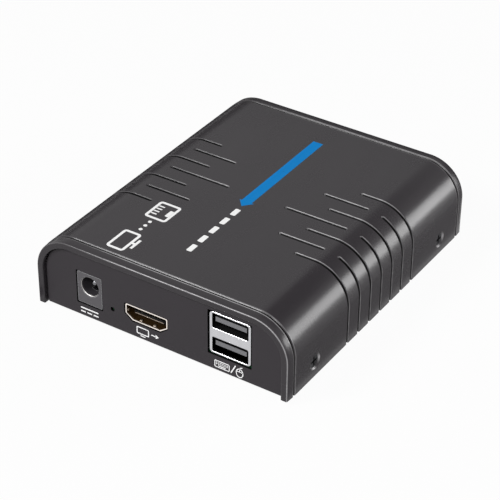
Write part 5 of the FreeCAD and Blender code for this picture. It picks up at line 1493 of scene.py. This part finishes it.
@dataclass
class Stage:
    """White floor and surroundings, soft lamps, and the camera."""

    azimuth: float = 32.761
    elevation: float = 34.179
    roll: float = 0.548
    distance: float = 556.128
    aim: Triple = (4.017, -9.763, 14.25)
    focal_pixels: float = 1808.211
    image_pixels: float = 500.0
    sensor: float = 36.0
    nearest: float = 10.0
    surround_light: float = 0.12
    floor_shade: float = 0.65
    floor_glow: float = 0.95
    floor_glow_mirrored: float = 0.85
    floor_side: float = 6000.0
    floor_level: float = -0.05
    softboxes: tuple[Softbox, ...] = (
        Softbox("softbox_right", 130.0, 10.0, distance=0.8, size=(0.46, 0.29), radiance=12.3),
        Softbox("softbox_front_left", -34.0, 40.0, distance=1.2, size=(0.36, 0.33), radiance=27.5),
        Softbox("softbox_front_right", 22.0, 42.0, distance=1.2, size=(0.36, 0.33), radiance=17.5),
    )
    cards: tuple[Card, ...] = (
        Card("dark_card_above", (150.0, 520.0, 620.0), (620.0, 0.0, 0.0), (0.0, 180.0, -200.0)),
        Card("dark_card_behind", (-300.0, 560.0, 150.0), (1200.0, 0.0, 0.0), (0.0, 0.0, 300.0)),
        Card("dark_mat_left", (-150.0, 100.0, 0.5), (206.0, 0.0, 0.0), (0.0, 320.0, 0.0), gloss=0.0),
        Card("grey_mat_right", (88.5, 550.0, 0.5), (83.0, 0.0, 0.0), (0.0, 1300.0, 0.0), shade=0.3),
        Card("dark_mat_right", (690.0, 550.0, 0.5), (1120.0, 0.0, 0.0), (0.0, 1300.0, 0.0)),
    )

    def build(self) -> None:
        """Set up everything round the object."""
        scene = bpy.context.scene
        scene.view_settings.view_transform = "Standard"
        self.surround()
        self.floor()
        for box in self.softboxes:
            box.build(Vector(self.aim) * MM)
        for card in self.cards:
            card.build()
        scene.camera = self.camera()

    def camera(self) -> Piece:
        """Make the camera at the photograph's place.

        Returns:
            The camera: it looks at the aim from a direction and a distance, rolled about its axis.
        """
        back = direction(self.azimuth, self.elevation)
        level = direction(self.azimuth + 90.0, 0.0)
        rise = back.cross(level)
        roll = math.radians(self.roll)
        right = math.cos(roll) * level + math.sin(roll) * rise
        up = math.cos(roll) * rise - math.sin(roll) * level
        lens = bpy.data.cameras.new("photo_camera")
        lens.sensor_width = self.sensor
        lens.lens = self.focal_pixels * self.sensor / self.image_pixels
        lens.clip_start = self.nearest * MM
        camera = bpy.data.objects.new("photo_camera", lens)
        place = (Vector(self.aim) + back * self.distance) * MM
        camera.matrix_world = Matrix.Translation(place) @ Matrix((right, up, back)).transposed().to_4x4()
        bpy.context.scene.collection.objects.link(camera)
        return camera

    def seen(self, loom: NodeLoom, direct: float, mirrored: float) -> Socket:
        """Weigh the rays that show the surroundings.

        Args:
            loom: The loom of the world or of the floor's material.
            direct: Weight of rays from the camera.
            mirrored: Weight of rays by way of metal or glass.

        Returns:
            The weight of the ray, 0 for rays that only bring light.
        """
        path = loom.add("LightPath", {}).outputs
        bounced = loom.calculate("MAXIMUM", path["Is Glossy Ray"], path["Is Transmission Ray"])
        straight = loom.times(path["Is Camera Ray"], direct)
        return loom.calculate("MAXIMUM", straight, loom.times(bounced, mirrored))

    def surround(self) -> None:
        """Make the world white to the eye and soft as a light."""
        world = bpy.data.worlds.new("surround")
        bpy.context.scene.world = world
        world.use_nodes = True
        loom = NodeLoom(world.node_tree)
        sockets = world.node_tree.nodes["Background"].inputs
        seen = self.seen(loom, direct=1.0, mirrored=1.0)
        strength = loom.spread(seen, source=(0.0, 1.0), target=(self.surround_light, 1.0))
        loom.feed(sockets["Strength"], strength)
        sockets["Color"].default_value = grey(1.0)

    def floor(self) -> None:
        """Make the pale floor, which keeps a soft shadow."""
        middle, side = (0.0, 0.0, self.floor_level), self.floor_side
        floor = make_sheet("floor", middle, across=(side, 0.0, 0.0), along=(0.0, side, 0.0))
        material = bpy.data.materials.new("pale_floor")
        material.use_nodes = True
        nodes = material.node_tree.nodes
        nodes.remove(nodes["Principled BSDF"])
        loom = NodeLoom(material.node_tree)
        matt = loom.add("BsdfDiffuse", {"Color": grey(self.floor_shade)}).outputs[0]
        glow = loom.add("Emission", {"Color": grey(1.0), "Strength": 1.0}).outputs[0]
        share = self.seen(loom, self.floor_glow, self.floor_glow_mirrored)
        mixed = loom.add("MixShader", {0: share, 1: matt, 2: glow}).outputs[0]
        loom.feed(nodes["Material Output"].inputs["Surface"], mixed)
        floor.data.materials.append(material)


def main() -> None:
    """Build the receiver's looks and set the stage."""
    logging.basicConfig(level=logging.INFO, format="%(name)s: %(message)s")
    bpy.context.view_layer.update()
    prints = (TOP_SIGNS, TOP_STRIPE, PANEL_SIGNS)
    for assembly in (Cover(), *prints, Housing(), FrontPorts(), RearPorts(), Board(), Stage()):
        LOG.info("building %s", type(assembly).__name__)
        assembly.build()


if __name__ == "__main__":
    main()
